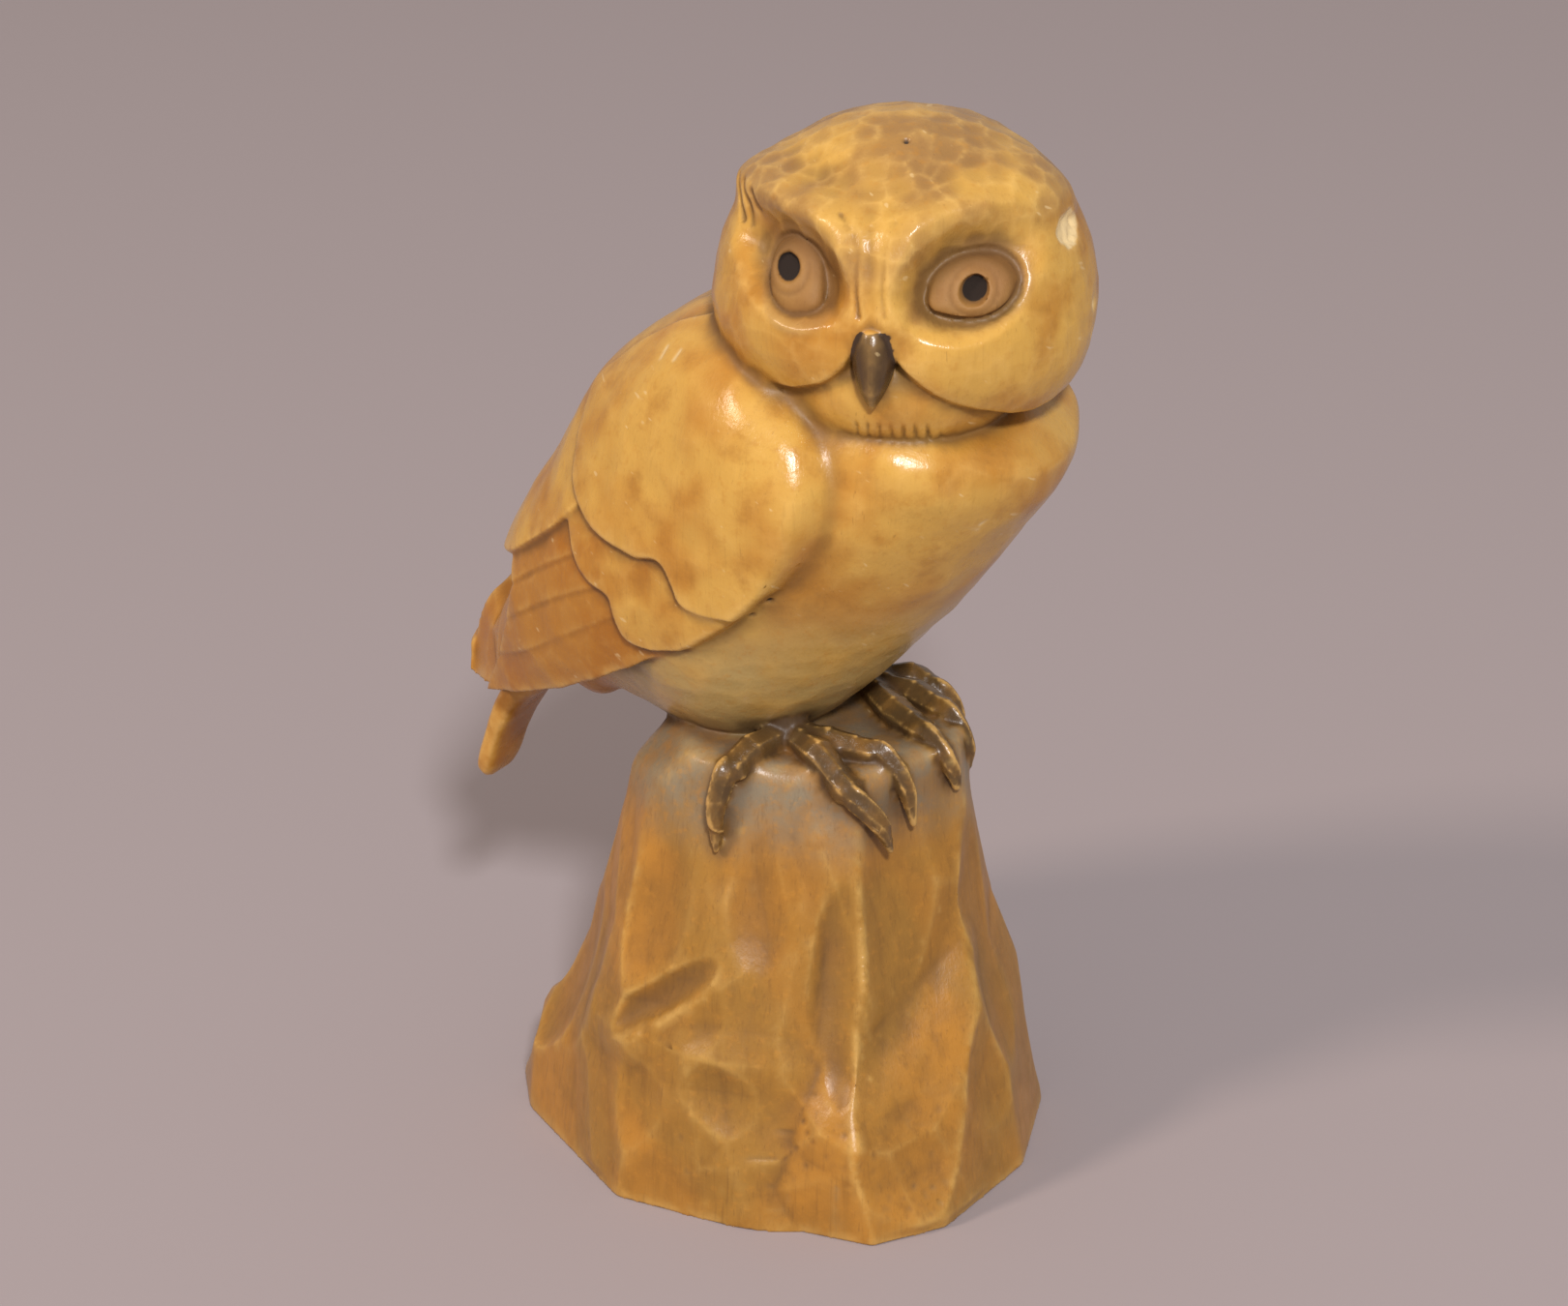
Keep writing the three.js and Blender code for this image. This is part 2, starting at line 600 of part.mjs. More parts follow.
function carving() {
  const wings = [1, -1].flatMap((side) => [
    ...quills(side),
    covert(coverts.middle, side),
    covert(coverts.upper, side),
    mantleHalf(side),
  ]);
  const bib = ellipsoid(onHead(throat.centre), throat.radii, faceAxes, throat.facets);
  return joined([
    rock(),
    skin(trunkPoint, 16, 22),
    ...wings,
    skin(rumpPoint, rump.rows, rump.columns),
    skin(tailPoint, 8, 12),
    skull(),
    eyeball(1),
    eyeball(-1),
    bib,
    skin(beakPoint, 9, 10),
    ...feet.map(foot),
  ]);
}

// Slits narrower than this are closed.
const slit = 1e-3;

// Where layers of feathers lie on each other, small pockets stay shut inside the wood. Only the
// outer skin is kept, so the carving is solid: triangles that share points belong to one skin.
function outerSkin(triangles, pointCount) {
  const parent = Uint32Array.from({ length: pointCount }, (_, i) => i);
  const find = (i) => {
    let at = i;
    while (parent[at] !== at) {
      parent[at] = parent[parent[at]];
      at = parent[at];
    }
    return at;
  };
  for (let i = 0; i < triangles.length; i += 3) {
    parent[find(triangles[i + 1])] = find(triangles[i]);
    parent[find(triangles[i + 2])] = find(triangles[i]);
  }
  const sizes = new Map();
  for (const corner of triangles) sizes.set(find(corner), (sizes.get(find(corner)) ?? 0) + 1);
  const [largest] = [...sizes.entries()].reduce((best, next) => (next[1] > best[1] ? next : best));
  return triangles.filter((corner) => find(corner) === largest);
}

function geometryOf(positions, triangles) {
  const geometry = new THREE.BufferGeometry();
  geometry.setAttribute("position", new THREE.BufferAttribute(positions, 3));
  geometry.setIndex(new THREE.BufferAttribute(triangles, 1));
  return geometry;
}

function meshOf(solid, name, material) {
  const rough = solid.getMesh();
  const closed = solidOf(geometryOf(rough.vertProperties, rough.triVerts), slit).getMesh();
  const kept = outerSkin(closed.triVerts, closed.vertProperties.length / 3);
  const geometry = geometryOf(closed.vertProperties, kept);
  geometry.computeVertexNormals();
  const mesh = new THREE.Mesh(geometry, material);
  mesh.name = name;
  return mesh;
}

const waxedWood = new THREE.MeshStandardMaterial({ color: 0xb98444, roughness: 0.42, metalness: 0 });

const model = new THREE.Group();
model.add(meshOf(carving(), "carved_owl", waxedWood));

export default model;
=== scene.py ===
# Carved and waxed wooden owl on its rock. Lengths are millimetres until a mesh is made.
import json
import math
import time

import bpy
import numpy as np
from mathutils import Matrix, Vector

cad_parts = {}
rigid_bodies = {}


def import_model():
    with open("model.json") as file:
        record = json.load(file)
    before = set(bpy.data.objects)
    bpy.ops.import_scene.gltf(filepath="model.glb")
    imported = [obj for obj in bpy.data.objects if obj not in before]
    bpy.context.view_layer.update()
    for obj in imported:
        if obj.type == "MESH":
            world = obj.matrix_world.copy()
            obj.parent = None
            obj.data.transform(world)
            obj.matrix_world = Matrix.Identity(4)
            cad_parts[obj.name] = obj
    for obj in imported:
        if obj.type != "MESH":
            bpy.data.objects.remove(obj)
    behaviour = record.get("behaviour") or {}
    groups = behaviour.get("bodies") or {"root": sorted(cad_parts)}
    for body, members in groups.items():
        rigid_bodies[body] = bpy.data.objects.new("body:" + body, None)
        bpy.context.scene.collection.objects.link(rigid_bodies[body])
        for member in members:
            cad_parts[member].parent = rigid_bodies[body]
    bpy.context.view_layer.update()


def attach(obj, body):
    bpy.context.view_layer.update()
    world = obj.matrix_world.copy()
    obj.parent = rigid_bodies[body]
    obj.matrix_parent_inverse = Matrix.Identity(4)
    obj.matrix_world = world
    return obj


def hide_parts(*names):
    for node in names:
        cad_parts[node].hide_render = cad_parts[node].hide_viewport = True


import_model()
started = time.time()


def stage(words):
    print(f"owl: {words} at {time.time() - started:.0f} s")


# Shared shapes

def eased(x, low, high):
    # 3t^2 - 2t^3 for t from low to high, 0 before and 1 after
    t = np.clip((np.asarray(x, float) - low) / (high - low), 0, 1)
    return t * t * (3 - 2 * t)


def mixed(a, b, t):
    return a + (b - a) * t


def through(keys, x):
    # smooth curve through rows [x, values...]: cubic Hermite, each slope that of the row's neighbours
    keys = np.asarray(keys, float)
    at, value = keys[:, 0], keys[:, 1:]
    slope = np.empty_like(value)
    slope[1:-1] = (value[2:] - value[:-2]) / (at[2:] - at[:-2])[:, None]
    slope[0] = (value[1] - value[0]) / (at[1] - at[0])
    slope[-1] = (value[-1] - value[-2]) / (at[-1] - at[-2])
    x = np.clip(np.asarray(x, float), at[0], at[-1])
    i = np.clip(np.searchsorted(at, x, side="right") - 1, 0, len(at) - 2)
    step = at[i + 1] - at[i]
    t = ((x - at[i]) / step)[..., None]
    step = step[..., None]
    start = (2 * t ** 3 - 3 * t ** 2 + 1) * value[i] + (t ** 3 - 2 * t ** 2 + t) * step * slope[i]
    end = (3 * t ** 2 - 2 * t ** 3) * value[i + 1] + (t ** 3 - t ** 2) * step * slope[i + 1]
    return start + end


def unit(vectors):
    return vectors / np.maximum(np.linalg.norm(vectors, axis=-1, keepdims=True), 1e-9)


def facesOut(points, faces):
    # turns the faces round where the signed volume, the sum of a.(b x c), is negative
    a, b, c = (points[faces[:, k]] for k in range(3))
    return faces if np.einsum("ij,ij->", a, np.cross(b, c)) > 0 else faces[:, ::-1]


def closedSkin(grid):
    # rows along a form and columns once round it; the end rows draw together to their mean
    rows, columns = grid.shape[:2]
    points = np.concatenate([grid[0].mean(0)[None], grid[1:-1].reshape(-1, 3), grid[-1].mean(0)[None]])
    across = np.arange(columns)
    after = (across + 1) % columns
    ring = 1 + (np.arange(rows - 2) * columns)[:, None]
    a, b = ring[:-1] + across, ring[:-1] + after
    c, d = ring[1:] + after, ring[1:] + across
    body = np.stack([np.stack([a, b, c], -1), np.stack([a, c, d], -1)]).reshape(-1, 3)
    first = np.stack([np.zeros_like(across), 1 + after, 1 + across], -1)
    base = 1 + (rows - 3) * columns
    last = np.stack([np.full_like(across, len(points) - 1), base + across, base + after], -1)
    faces = np.concatenate([body, first, last])
    return points, facesOut(points, faces)


def closedSlab(outer, inner):
    # two sheets of the same grid, joined by a wall along their edges
    rows, columns = outer.shape[:2]
    count = rows * columns
    points = np.concatenate([outer.reshape(-1, 3), inner.reshape(-1, 3)])
    index = np.arange(count).reshape(rows, columns)
    a, b, c, d = index[:-1, :-1], index[:-1, 1:], index[1:, 1:], index[1:, :-1]
    top = np.stack([np.stack([a, b, c], -1), np.stack([a, c, d], -1)]).reshape(-1, 3)
    rim = np.concatenate([index[0, :-1], index[:-1, -1], index[-1, :0:-1], index[:0:-1, 0]])
    on = np.roll(rim, -1)
    wall = np.concatenate([np.stack([on, rim, rim + count], -1), np.stack([on, rim + count, on + count], -1)])
    faces = np.concatenate([top, top[:, ::-1] + count, wall])
    return points, facesOut(points, faces)


def ballSkin(centre, radii, axes, rows=90, columns=120):
    # centre + axes (radii * (sin a cos b, sin a sin b, cos a))
    a = np.linspace(0, np.pi, rows)[:, None]
    b = np.linspace(0, 2 * np.pi, columns, endpoint=False)[None]
    ball = np.stack([np.sin(a) * np.cos(b), np.sin(a) * np.sin(b), np.cos(a) + 0 * b], -1)
    return closedSkin(np.asarray(centre, float) + (ball * radii) @ np.asarray(axes, float))


# The bird's body is turned on the rock: ahead, to its right side and up are its own directions.
body = {"headingDeg": 60, "origin": (12, 1, 0)}
heading = math.radians(body["headingDeg"])
bodyAxes = np.array([
    [math.sin(heading), -math.cos(heading), 0],
    [-math.cos(heading), -math.sin(heading), 0],
    [0, 0, 1],
])


def onBody(place):
    return np.asarray(body["origin"], float) + place @ bodyAxes


def fromBody(points):
    # ahead, to the right side and up
    return (points - np.array(body["origin"], float)) @ bodyAxes.T


# Rock

rock = {
    "middle": (0, 0, 60),
    "worn": 0.4,  # how far the ridges are rounded
    "leastSlope": 0.05,  # cuts that a direction meets at less than this are passed over
    # each cut takes away what lies beyond a plane: azimuth of its normal, lean above level, distance
    "core": [
        [-172, 5, 71.5], [-150, 8, 62.3], [-115, 5, 61], [-104, 3, 62.6], [-66, 6, 73.4], [-36, 7, 71],
        [-12, 9, 71], [22, 8, 70.5], [58, 8, 67.5], [98, 8, 66], [138, 8, 68.5],
        [-97, 15, 64.5], [-163, 13.4, 64.9], [-122, 15, 65.8], [-90, 12, 61.8], [-53, 10.6, 63.5],
        [-8, 8, 65.5], [30, 12, 67], [75, 15, 68], [120, 16, 68], [165, 13.4, 65.5],
        [-172, 42, 105.5], [-135, 40, 109], [-100, 42, 110], [-60, 38, 110], [-20, 42, 119], [20, 40, 118],
        [70, 38, 116], [120, 40, 116], [-60, 86, 126.5], [150, 80, 127], [159, 38, 99.5],
    ],
    "rightSpur": [
        [-61, 24, 72.6], [-36, 7, 71], [-12, 9, 70.5], [-15, 18, 73.5], [22, 8, 69.8], [-66, 6, 73.4],
        [-120, 20, 54.5], [-110, 0, 57.9], [30, 20, 73], [100, 0, 20], [180, 0, 10],
    ],
    "leftSpur": [
        [-172, 5, 71.5], [-150, 8, 62.3], [-115, 5, 61], [-178, 27, 72.6], [-148, 22, 69.5], [138, 8, 68],
        [150, 25, 72.5], [60, 0, 10], [-60, 0, 5],
    ],
    # gouge cuts: azimuth, height, half length, half width, turn of the long way from level, depth
    "gouged": [
        [-126, 62, 32, 5.6, 41, 2.8], [-133, 87, 24, 13, 85, 2], [-97, 92, 22, 10, 88, 1.8],
        [-77, 66, 24, 7, 82, 2.2], [-53, 80, 32, 13, 78, 2.5], [-60, 30, 22, 15, 70, 1.6],
        [-34, 28, 20, 13, 90, 1.6], [-131, 25, 19, 15, 0, 1.8], [-104, 35, 20, 10, -8, 1.8],
        [-163, 55, 28, 9, 88, 1.5],
        [-140, 105, 12, 9, 60, 1.2], [-112, 104, 13, 8, 90, 1.2], [-18, 60, 26, 12, 92, 1.6],
        [-38, 103, 14, 9, 95, 1.2], [-112, 57, 16, 7, 33, 1.2],
    ],
    # rows of even cuts round the back: first and last azimuth and how many, heights, half length, half
    # width and depth, how unevenly high, turn of the long way and how uneven it is
    "backAzimuths": (12, 172, 7), "backHeights": (22, 54, 86), "backCut": (21, 14, 1.7),
    "backUneven": 5, "backTurn": (60, 50),
    "gougeRound": 12, "gougeLean": 14, "gougeWorn": 0.4,
    # the worn seat between the feet
    "seatCentre": (22, -8, 136.5), "seatRadii": (34, 26, 13), "seatWorn": 1.5,
    # ridges between the big cuts, as azimuth and height: how high, and how far the faces fall away
    "ridges": [
        [(-77, 107), (-72, 95), (-67, 80), (-68, 63), (-71, 51), (-74, 44), (-80, 30), (-66, 24), (-60, 2)],
        [(-92, 100), (-85, 80), (-92, 53), (-90, 46)],
        [(-169, 97), (-154, 73), (-161, 38), (-155, 31), (-147, 5)],
        [(-155, 46), (-130, 48), (-92, 46), (-80, 30)],
        [(-118, 46), (-112, 16), (-92, 20), (-80, 30)],
        [(-66, 24), (-53, 27), (-41, 41), (-28, 67)],
        [(-53, 27), (-46, 2)],
        [(-145, 42), (-123, 58), (-103, 71)],
    ],
    "ridgeHigh": 1.0, "ridgeReach": 9, "azimuthStep": 0.96,  # mm round the rock for one degree
    "valleys": [[(-30, 80), (-45, 64), (-57, 55), (-72, 44)]], "valleyDeep": 1.6, "valleyWide": 7,
}
rockStones = ("core", "rightSpur", "leftSpur")


def rockReach(towards, cuts):
    # distance along each direction to the nearest cut: d' / (n . direction), softly the least of all
    azimuth, lean = np.radians(np.array(cuts)[:, 0]), np.radians(np.array(cuts)[:, 1])
    normal = np.stack([np.cos(lean) * np.cos(azimuth), np.cos(lean) * np.sin(azimuth), np.sin(lean)], -1)
    left = np.array(cuts)[:, 2] - normal @ np.array(rock["middle"], float)
    slope = towards @ normal.T
    reach = np.where(slope > 1e-3, left / np.maximum(slope, 1e-3), 1e3)
    least = reach.min(-1, keepdims=True)
    soft = np.exp(-(np.minimum(reach - least, 40)) / rock["worn"]).sum(-1)
    return least[..., 0] - rock["worn"] * np.log(soft)


def rotation(axis, angleDeg):
    a = math.radians(angleDeg)
    c, s = math.cos(a), math.sin(a)
    return {
        "x": np.array([[1, 0, 0], [0, c, -s], [0, s, c]]),
        "y": np.array([[c, 0, s], [0, 1, 0], [-s, 0, c]]),
        "z": np.array([[c, -s, 0], [s, c, 0], [0, 0, 1]]),
    }[axis]


def ballReach(towards, centre, axes, radii):
    # where each direction from the rock's middle first meets a ball: the lesser root of a quadratic
    start = (np.array(rock["middle"], float) - centre) @ axes / radii
    step = towards @ axes / radii
    a = (step ** 2).sum(-1)
    b = (step * start).sum(-1)
    c = (start ** 2).sum(-1) - 1
    inside = b * b - a * c
    return np.where((inside > 0) & (b < 0), (-b - np.sqrt(np.maximum(inside, 0))) / a, 1e3)


def rockRadius(azimuth, height):
    # how far out the uncut stones reach: the least (d - height sin lean) / cos of the way to each cut
    reaches = []
    for name in rockStones:
        cuts = np.array(rock[name])
        lean = np.radians(cuts[:, 1])
        slope = np.cos(lean) * np.cos(np.radians(azimuth - cuts[:, 0]))
        met = slope > rock["leastSlope"]
        reaches.append(((cuts[:, 2] - np.sin(lean) * height)[met] / slope[met]).min())
    return max(reaches)


def gougeReach(towards, azimuth, height, long, wide, turn, depth):
    # a flat ball sunk by depth into the face, its own axes into, along and across it
    ball = rock["gougeRound"]
    lean = math.radians(rock["gougeLean"])
    footprint = math.sqrt(1 - (1 - depth / ball) ** 2)
    spun = rotation("z", azimuth)
    axes = spun @ rotation("y", -rock["gougeLean"]) @ rotation("x", turn)
    away = ball - depth
    out = rockRadius(azimuth, height) + away * math.cos(lean)
    centre = spun @ np.array([out, 0, height + away * math.sin(lean)])
    return ballReach(towards, centre, axes, np.array([ball, long / footprint, wide / footprint]))


def gougeCuts():
    # the cuts that show in front, and even rows of them round the back, each row half a step on
    first, last, count = rock["backAzimuths"]
    long, wide, depth = rock["backCut"]
    cuts = [tuple(cut) for cut in rock["gouged"]]
    for row, height in enumerate(rock["backHeights"]):
        for k in range(count):
            azimuth = first + (last - first) * (k + 0.5 * (row % 2)) / (count - 1)
            up = height + rock["backUneven"] * math.sin(3 * k + row)
            level, swing = rock["backTurn"]
            cuts.append((azimuth, up, long, wide, level + swing * math.sin(2 * k + row), depth))
    return cuts


def softLess(a, b, worn):
    # the lesser of two, rounded where they cross
    blend = np.clip(0.5 + 0.5 * (b - a) / worn, 0, 1)
    return mixed(b, a, blend) - worn * blend * (1 - blend)


def rockSkin(rows=400, columns=780):
    # middle + reach(direction) * direction, over elevation and azimuth
    elevation = np.linspace(-np.pi / 2, np.pi / 2, rows)[:, None]
    azimuth = np.linspace(-np.pi, np.pi, columns, endpoint=False)[None]
    level = np.cos(elevation)
    rise = np.sin(elevation) + 0 * azimuth
    towards = np.stack([level * np.cos(azimuth), level * np.sin(azimuth), rise], -1)
    reach = np.max([rockReach(towards, rock[k]) for k in rockStones], axis=0)
    for cut in gougeCuts():
        reach = softLess(reach, gougeReach(towards, *cut), rock["gougeWorn"])
    seatCentre, seatRadii = (np.array(rock[key], float) for key in ("seatCentre", "seatRadii"))
    reach = softLess(reach, ballReach(towards, seatCentre, np.eye(3), seatRadii), rock["seatWorn"])
    down = towards[..., 2] < -1e-6
    floor = np.where(down, rock["middle"][2] / np.maximum(-towards[..., 2], 1e-6), 1e3)
    reach = np.minimum(reach, floor)
    return closedSkin(np.array(rock["middle"], float) + reach[..., None] * towards)


# Trunk, wings and tail

trunk = {
    # way up, back line along and up, breast line along and up, half width
    "stations": [
        [0.0, -97, 128, -94, 122, 1], [0.1, -92, 142, -73.5, 114.2, 9.8],
        [0.25, -82, 165, -59.6, 118.5, 17.8], [0.42, -69, 190, -21.5, 115.6, 38],
        [0.6, -50, 214, -0.6, 124.8, 51], [0.78, -25, 232, 29.6, 155.5, 50.6],
        [0.9, 2, 239, 55.5, 190, 46], [0.97, 26, 238, 66.5, 211, 34], [1.0, 45, 234, 58, 224, 1],
    ],
}


def trunkSkin(rows=240, columns=320):
    # an ellipse at each station, from the back line to the breast line
    row = through(trunk["stations"], np.linspace(0, 1, rows))[:, None]
    turn = np.linspace(0, 2 * np.pi, columns, endpoint=False)[None]
    backAlong, backUp, breastAlong, breastUp, width = (row[..., k] for k in range(5))
    across = np.cos(turn) / 2
    place = np.stack([
        (backAlong + breastAlong) / 2 + (backAlong - breastAlong) * across,
        width * np.sin(turn),
        (backUp + breastUp) / 2 + (backUp - breastUp) * across,
    ], -1)
    return closedSkin(onBody(place))


wing = {
    # way from shoulder to tip, along, side, up
    "lowEdge": [
        [0.0, 2, 33, 234], [0.08, 12, 41, 228], [0.18, 19, 48.5, 219], [0.3, 21.5, 53, 206],
        [0.45, 14.5, 53.5, 187], [0.56, 1.5, 52.5, 173], [0.68, -18, 49.5, 158.5], [0.8, -42, 43, 143],
        [0.9, -70, 32, 127], [1.0, -101, 17, 113],
    ],
    "topEdge": [
        [0.0, -6, 8, 244], [0.15, -21, 8, 242], [0.3, -38, 7, 235], [0.45, -57.5, 6, 219],
        [0.6, -73, 5, 194], [0.75, -87.5, 4, 172], [0.9, -96.5, 4, 151.5], [1.0, -100, 5, 145],
    ],
    "farReach": (-19.5, -13, -6),  # the far wing reaches further back and lies closer in
    "farFrom": (0.4, 0.95),  # the ways along between which that grows
    "length": 165, "width": 95,  # rough lengths of the surface's two ways
    "lip": 1.5,  # how far in from a layer's edge its rounding goes
    "edgeRise": 0.1,  # share of its rise that a layer still has at its edge
}


def wingPlace(u, w):
    # a quarter of an ellipse about the point under the upper edge, from the lower edge to the upper one
    low, top = through(wing["lowEdge"], u), through(wing["topEdge"], u)
    turn = (w * np.pi / 2)[..., None]
    middle = low * np.array([1, 0, 1])
    return middle + (top - middle) * np.sin(turn) + (low - middle) * np.cos(turn)


def onWing(u, w, rise, side, reaching):
    e = 1e-3
    along = wingPlace(np.minimum(u + e, 1), w) - wingPlace(np.maximum(u - e, 0), w)
    over = wingPlace(u, w + e) - wingPlace(u, w - e)
    normal = unit(np.cross(over, along))
    normal = normal * np.sign(np.median(normal[..., 1]))
    place = wingPlace(u, w) + normal * rise[..., None]
    if side < 0 and reaching:
        place = place + eased(u, *wing["farFrom"])[..., None] * np.array(wing["farReach"], float)
    return onBody(place * np.array([1, side, 1]))


def layerSkin(area, rise, depth, side, rows, columns, reaching=True, rootShare=0.8, bevel=None):
    # a slab over the wing: u and w from area(p, q), thickest at its free end, with a rounded edge; its
    # underside lies as deep as depth says for its root and its end
    p = np.linspace(0, 1, rows)[:, None] + np.zeros(columns)[None]
    q = np.linspace(0, 1, columns)[None] + np.zeros(rows)[:, None]
    u, w = area(p, q)
    lengthHere = (u[-1:] - u[:1]) * wing["length"]
    widthHere = np.abs(w[:, -1:] - w[:, :1]) * wing["width"]
    inward = np.minimum((1 - p) * lengthHere, np.minimum(q, 1 - q) * widthHere)
    lip = bevel or wing["lip"]
    t = np.clip(inward / lip, 0, 1)
    rounding = np.sqrt(t * (2 - t))
    edge = mixed(wing["edgeRise"], 1, rounding)
    outer = onWing(u, w, rise * mixed(rootShare, 1, p) * edge, side, reaching)
    inner = onWing(u, w, -mixed(*depth, p), side, reaching)
    return closedSlab(outer, inner)


coverts = {
    # each row of them: where along it ends for each way over, where it starts, the ways over it covers
    "middle": {
        "end": [[0, 0.66], [0.05, 0.7], [0.11, 0.706], [0.18, 0.685], [0.24, 0.66], [0.31, 0.665],
                [0.4, 0.65], [0.48, 0.625], [0.55, 0.6]],
        "root": 0.3, "width": (0, 0.55), "rise": 2.1, "depth": (7, 7), "rows": 130, "columns": 150,
    },
    "upper": {
        "end": [[0, 0.545], [0.06, 0.572], [0.11, 0.576], [0.16, 0.556], [0.22, 0.54], [0.27, 0.56],
                [0.36, 0.576], [0.48, 0.575], [0.6, 0.55], [0.8, 0.45]],
        "root": 0, "width": (0, 0.8), "rise": 3.9, "depth": (7, 7), "rows": 200, "columns": 200,
    },
}


def covertSkin(look, side):
    def area(p, q):
        w = mixed(*look["width"], q)
        return mixed(look["root"], through(look["end"], w)[..., 0], p), w
    return layerSkin(area, look["rise"], look["depth"], side, look["rows"], look["columns"])


quill = {
    "rootAt": 0.55,
    "rootBounds": [0.0, 0.13, 0.2, 0.33, 0.5],
    "tipBounds": [0.03, 0.275, 0.44, 0.53, 0.68],
    "tips": [1.0, 0.95, 0.88, 0.81, 0.76],
    "farTips": [1.0, 0.99, 0.95, 0.9, 0.84],
    "rise": [0.4, 0.8, 1.2, 1.6], "rootShare": 0.5, "lip": 1.2,
    "depth": (9, 3.5),
    "bulge": 0.04,  # how far a tip curves out between its corners
}


def quillSkins(side):
    tips = quill["tips"] if side > 0 else quill["farTips"]
    skins = []
    for k, rise in enumerate(quill["rise"]):
        def area(p, q, k=k):
            tip = np.minimum(mixed(tips[k], tips[k + 1], q) + quill["bulge"] * q * (1 - q), 1)
            root = mixed(quill["rootBounds"][k], quill["rootBounds"][k + 1], q)
            end = mixed(quill["tipBounds"][k], quill["tipBounds"][k + 1], q)
            return mixed(quill["rootAt"], tip, p), mixed(root, end, p)
        skins.append(layerSkin(
            area, rise, quill["depth"], side, 130, 50, rootShare=quill["rootShare"], bevel=quill["lip"],
        ))
    return skins


mantle = {
    "end": [[0.48, 0.52], [0.53, 0.66], [0.6, 0.755], [0.66, 0.79], [0.76, 0.82], [0.86, 0.83], [1.0, 0.81],
            [1.12, 0.79]],
    "width": (0.48, 1.1), "rise": 3, "depth": (8, 8), "lip": 2,
}


def mantleSkin(side):
    def area(p, q):
        w = mixed(*mantle["width"], q)
        return through(mantle["end"], w)[..., 0] * p, w
    rise, depth, lip = mantle["rise"], mantle["depth"], mantle["lip"]
    return layerSkin(area, rise, depth, side, 220, 120, reaching=False, bevel=lip)


rump = {"from": 0.5, "to": 1, "sunk": (3, 3.4)}


def rumpSkin(rows=120, columns=160):
    # the back under the feathers of both wings: up over the near wing, down over the far one, and
    # straight back across
    t = np.linspace(0, 1, rows)[:, None] + np.zeros(columns)[None]
    w = np.linspace(0, 1, columns)[None] + np.zeros(rows)[:, None]
    u = mixed(rump["from"], rump["to"], t)
    e = 1e-3
    inner = np.clip(w, e, 1 - e)
    along = wingPlace(np.minimum(u + e, 1), inner) - wingPlace(np.maximum(u - e, 0), inner)
    normal = unit(np.cross(wingPlace(u, inner + e) - wingPlace(u, inner - e), along))
    normal = normal * np.sign(np.median(normal[..., 1]))
    near = wingPlace(u, w) - normal * mixed(*rump["sunk"], t)[..., None]
    reach = eased(u, *wing["farFrom"]) * (1 - w ** 3)
    far = (near + reach[..., None] * np.array(wing["farReach"], float)) * np.array([1, -1, 1])
    across = mixed(far[:, :1], near[:, :1], np.linspace(0, 1, 40)[None, :, None])
    return closedSkin(onBody(np.concatenate([near, far[:, ::-1], across[:, 1:-1]], axis=1)))


tail = {
    # way along, along, up, half thickness, half width
    "stations": [
        [0.0, -82, 126, 0.5, 0.5], [0.05, -84, 124, 4.5, 10.5], [0.4, -98, 110, 4.4, 10.5],
        [0.7, -105, 97, 3.7, 9.5], [0.95, -110.2, 82.6, 3.2, 8], [1.0, -111.3, 79.8, 0.4, 0.6],
    ],
    "leanDeg": 48.6, "blunt": 0.6,  # how square its section is
}


def tailSkin(rows=90, columns=140):
    # a superellipse section carried down the tail, its broad face turned up and back
    along, up, thick, wide = np.moveaxis(through(tail["stations"], np.linspace(0, 1, rows)), -1, 0)[..., None]
    turn = np.linspace(0, 2 * np.pi, columns, endpoint=False)[None]
    lean = math.radians(tail["leanDeg"])
    out = thick * np.sign(np.sin(turn)) * np.abs(np.sin(turn)) ** tail["blunt"]
    over = wide * np.sign(np.cos(turn)) * np.abs(np.cos(turn)) ** tail["blunt"]
    place = np.stack([along - out * math.sin(lean), over, up + out * math.cos(lean)], -1)
    return closedSkin(onBody(place))


# Head

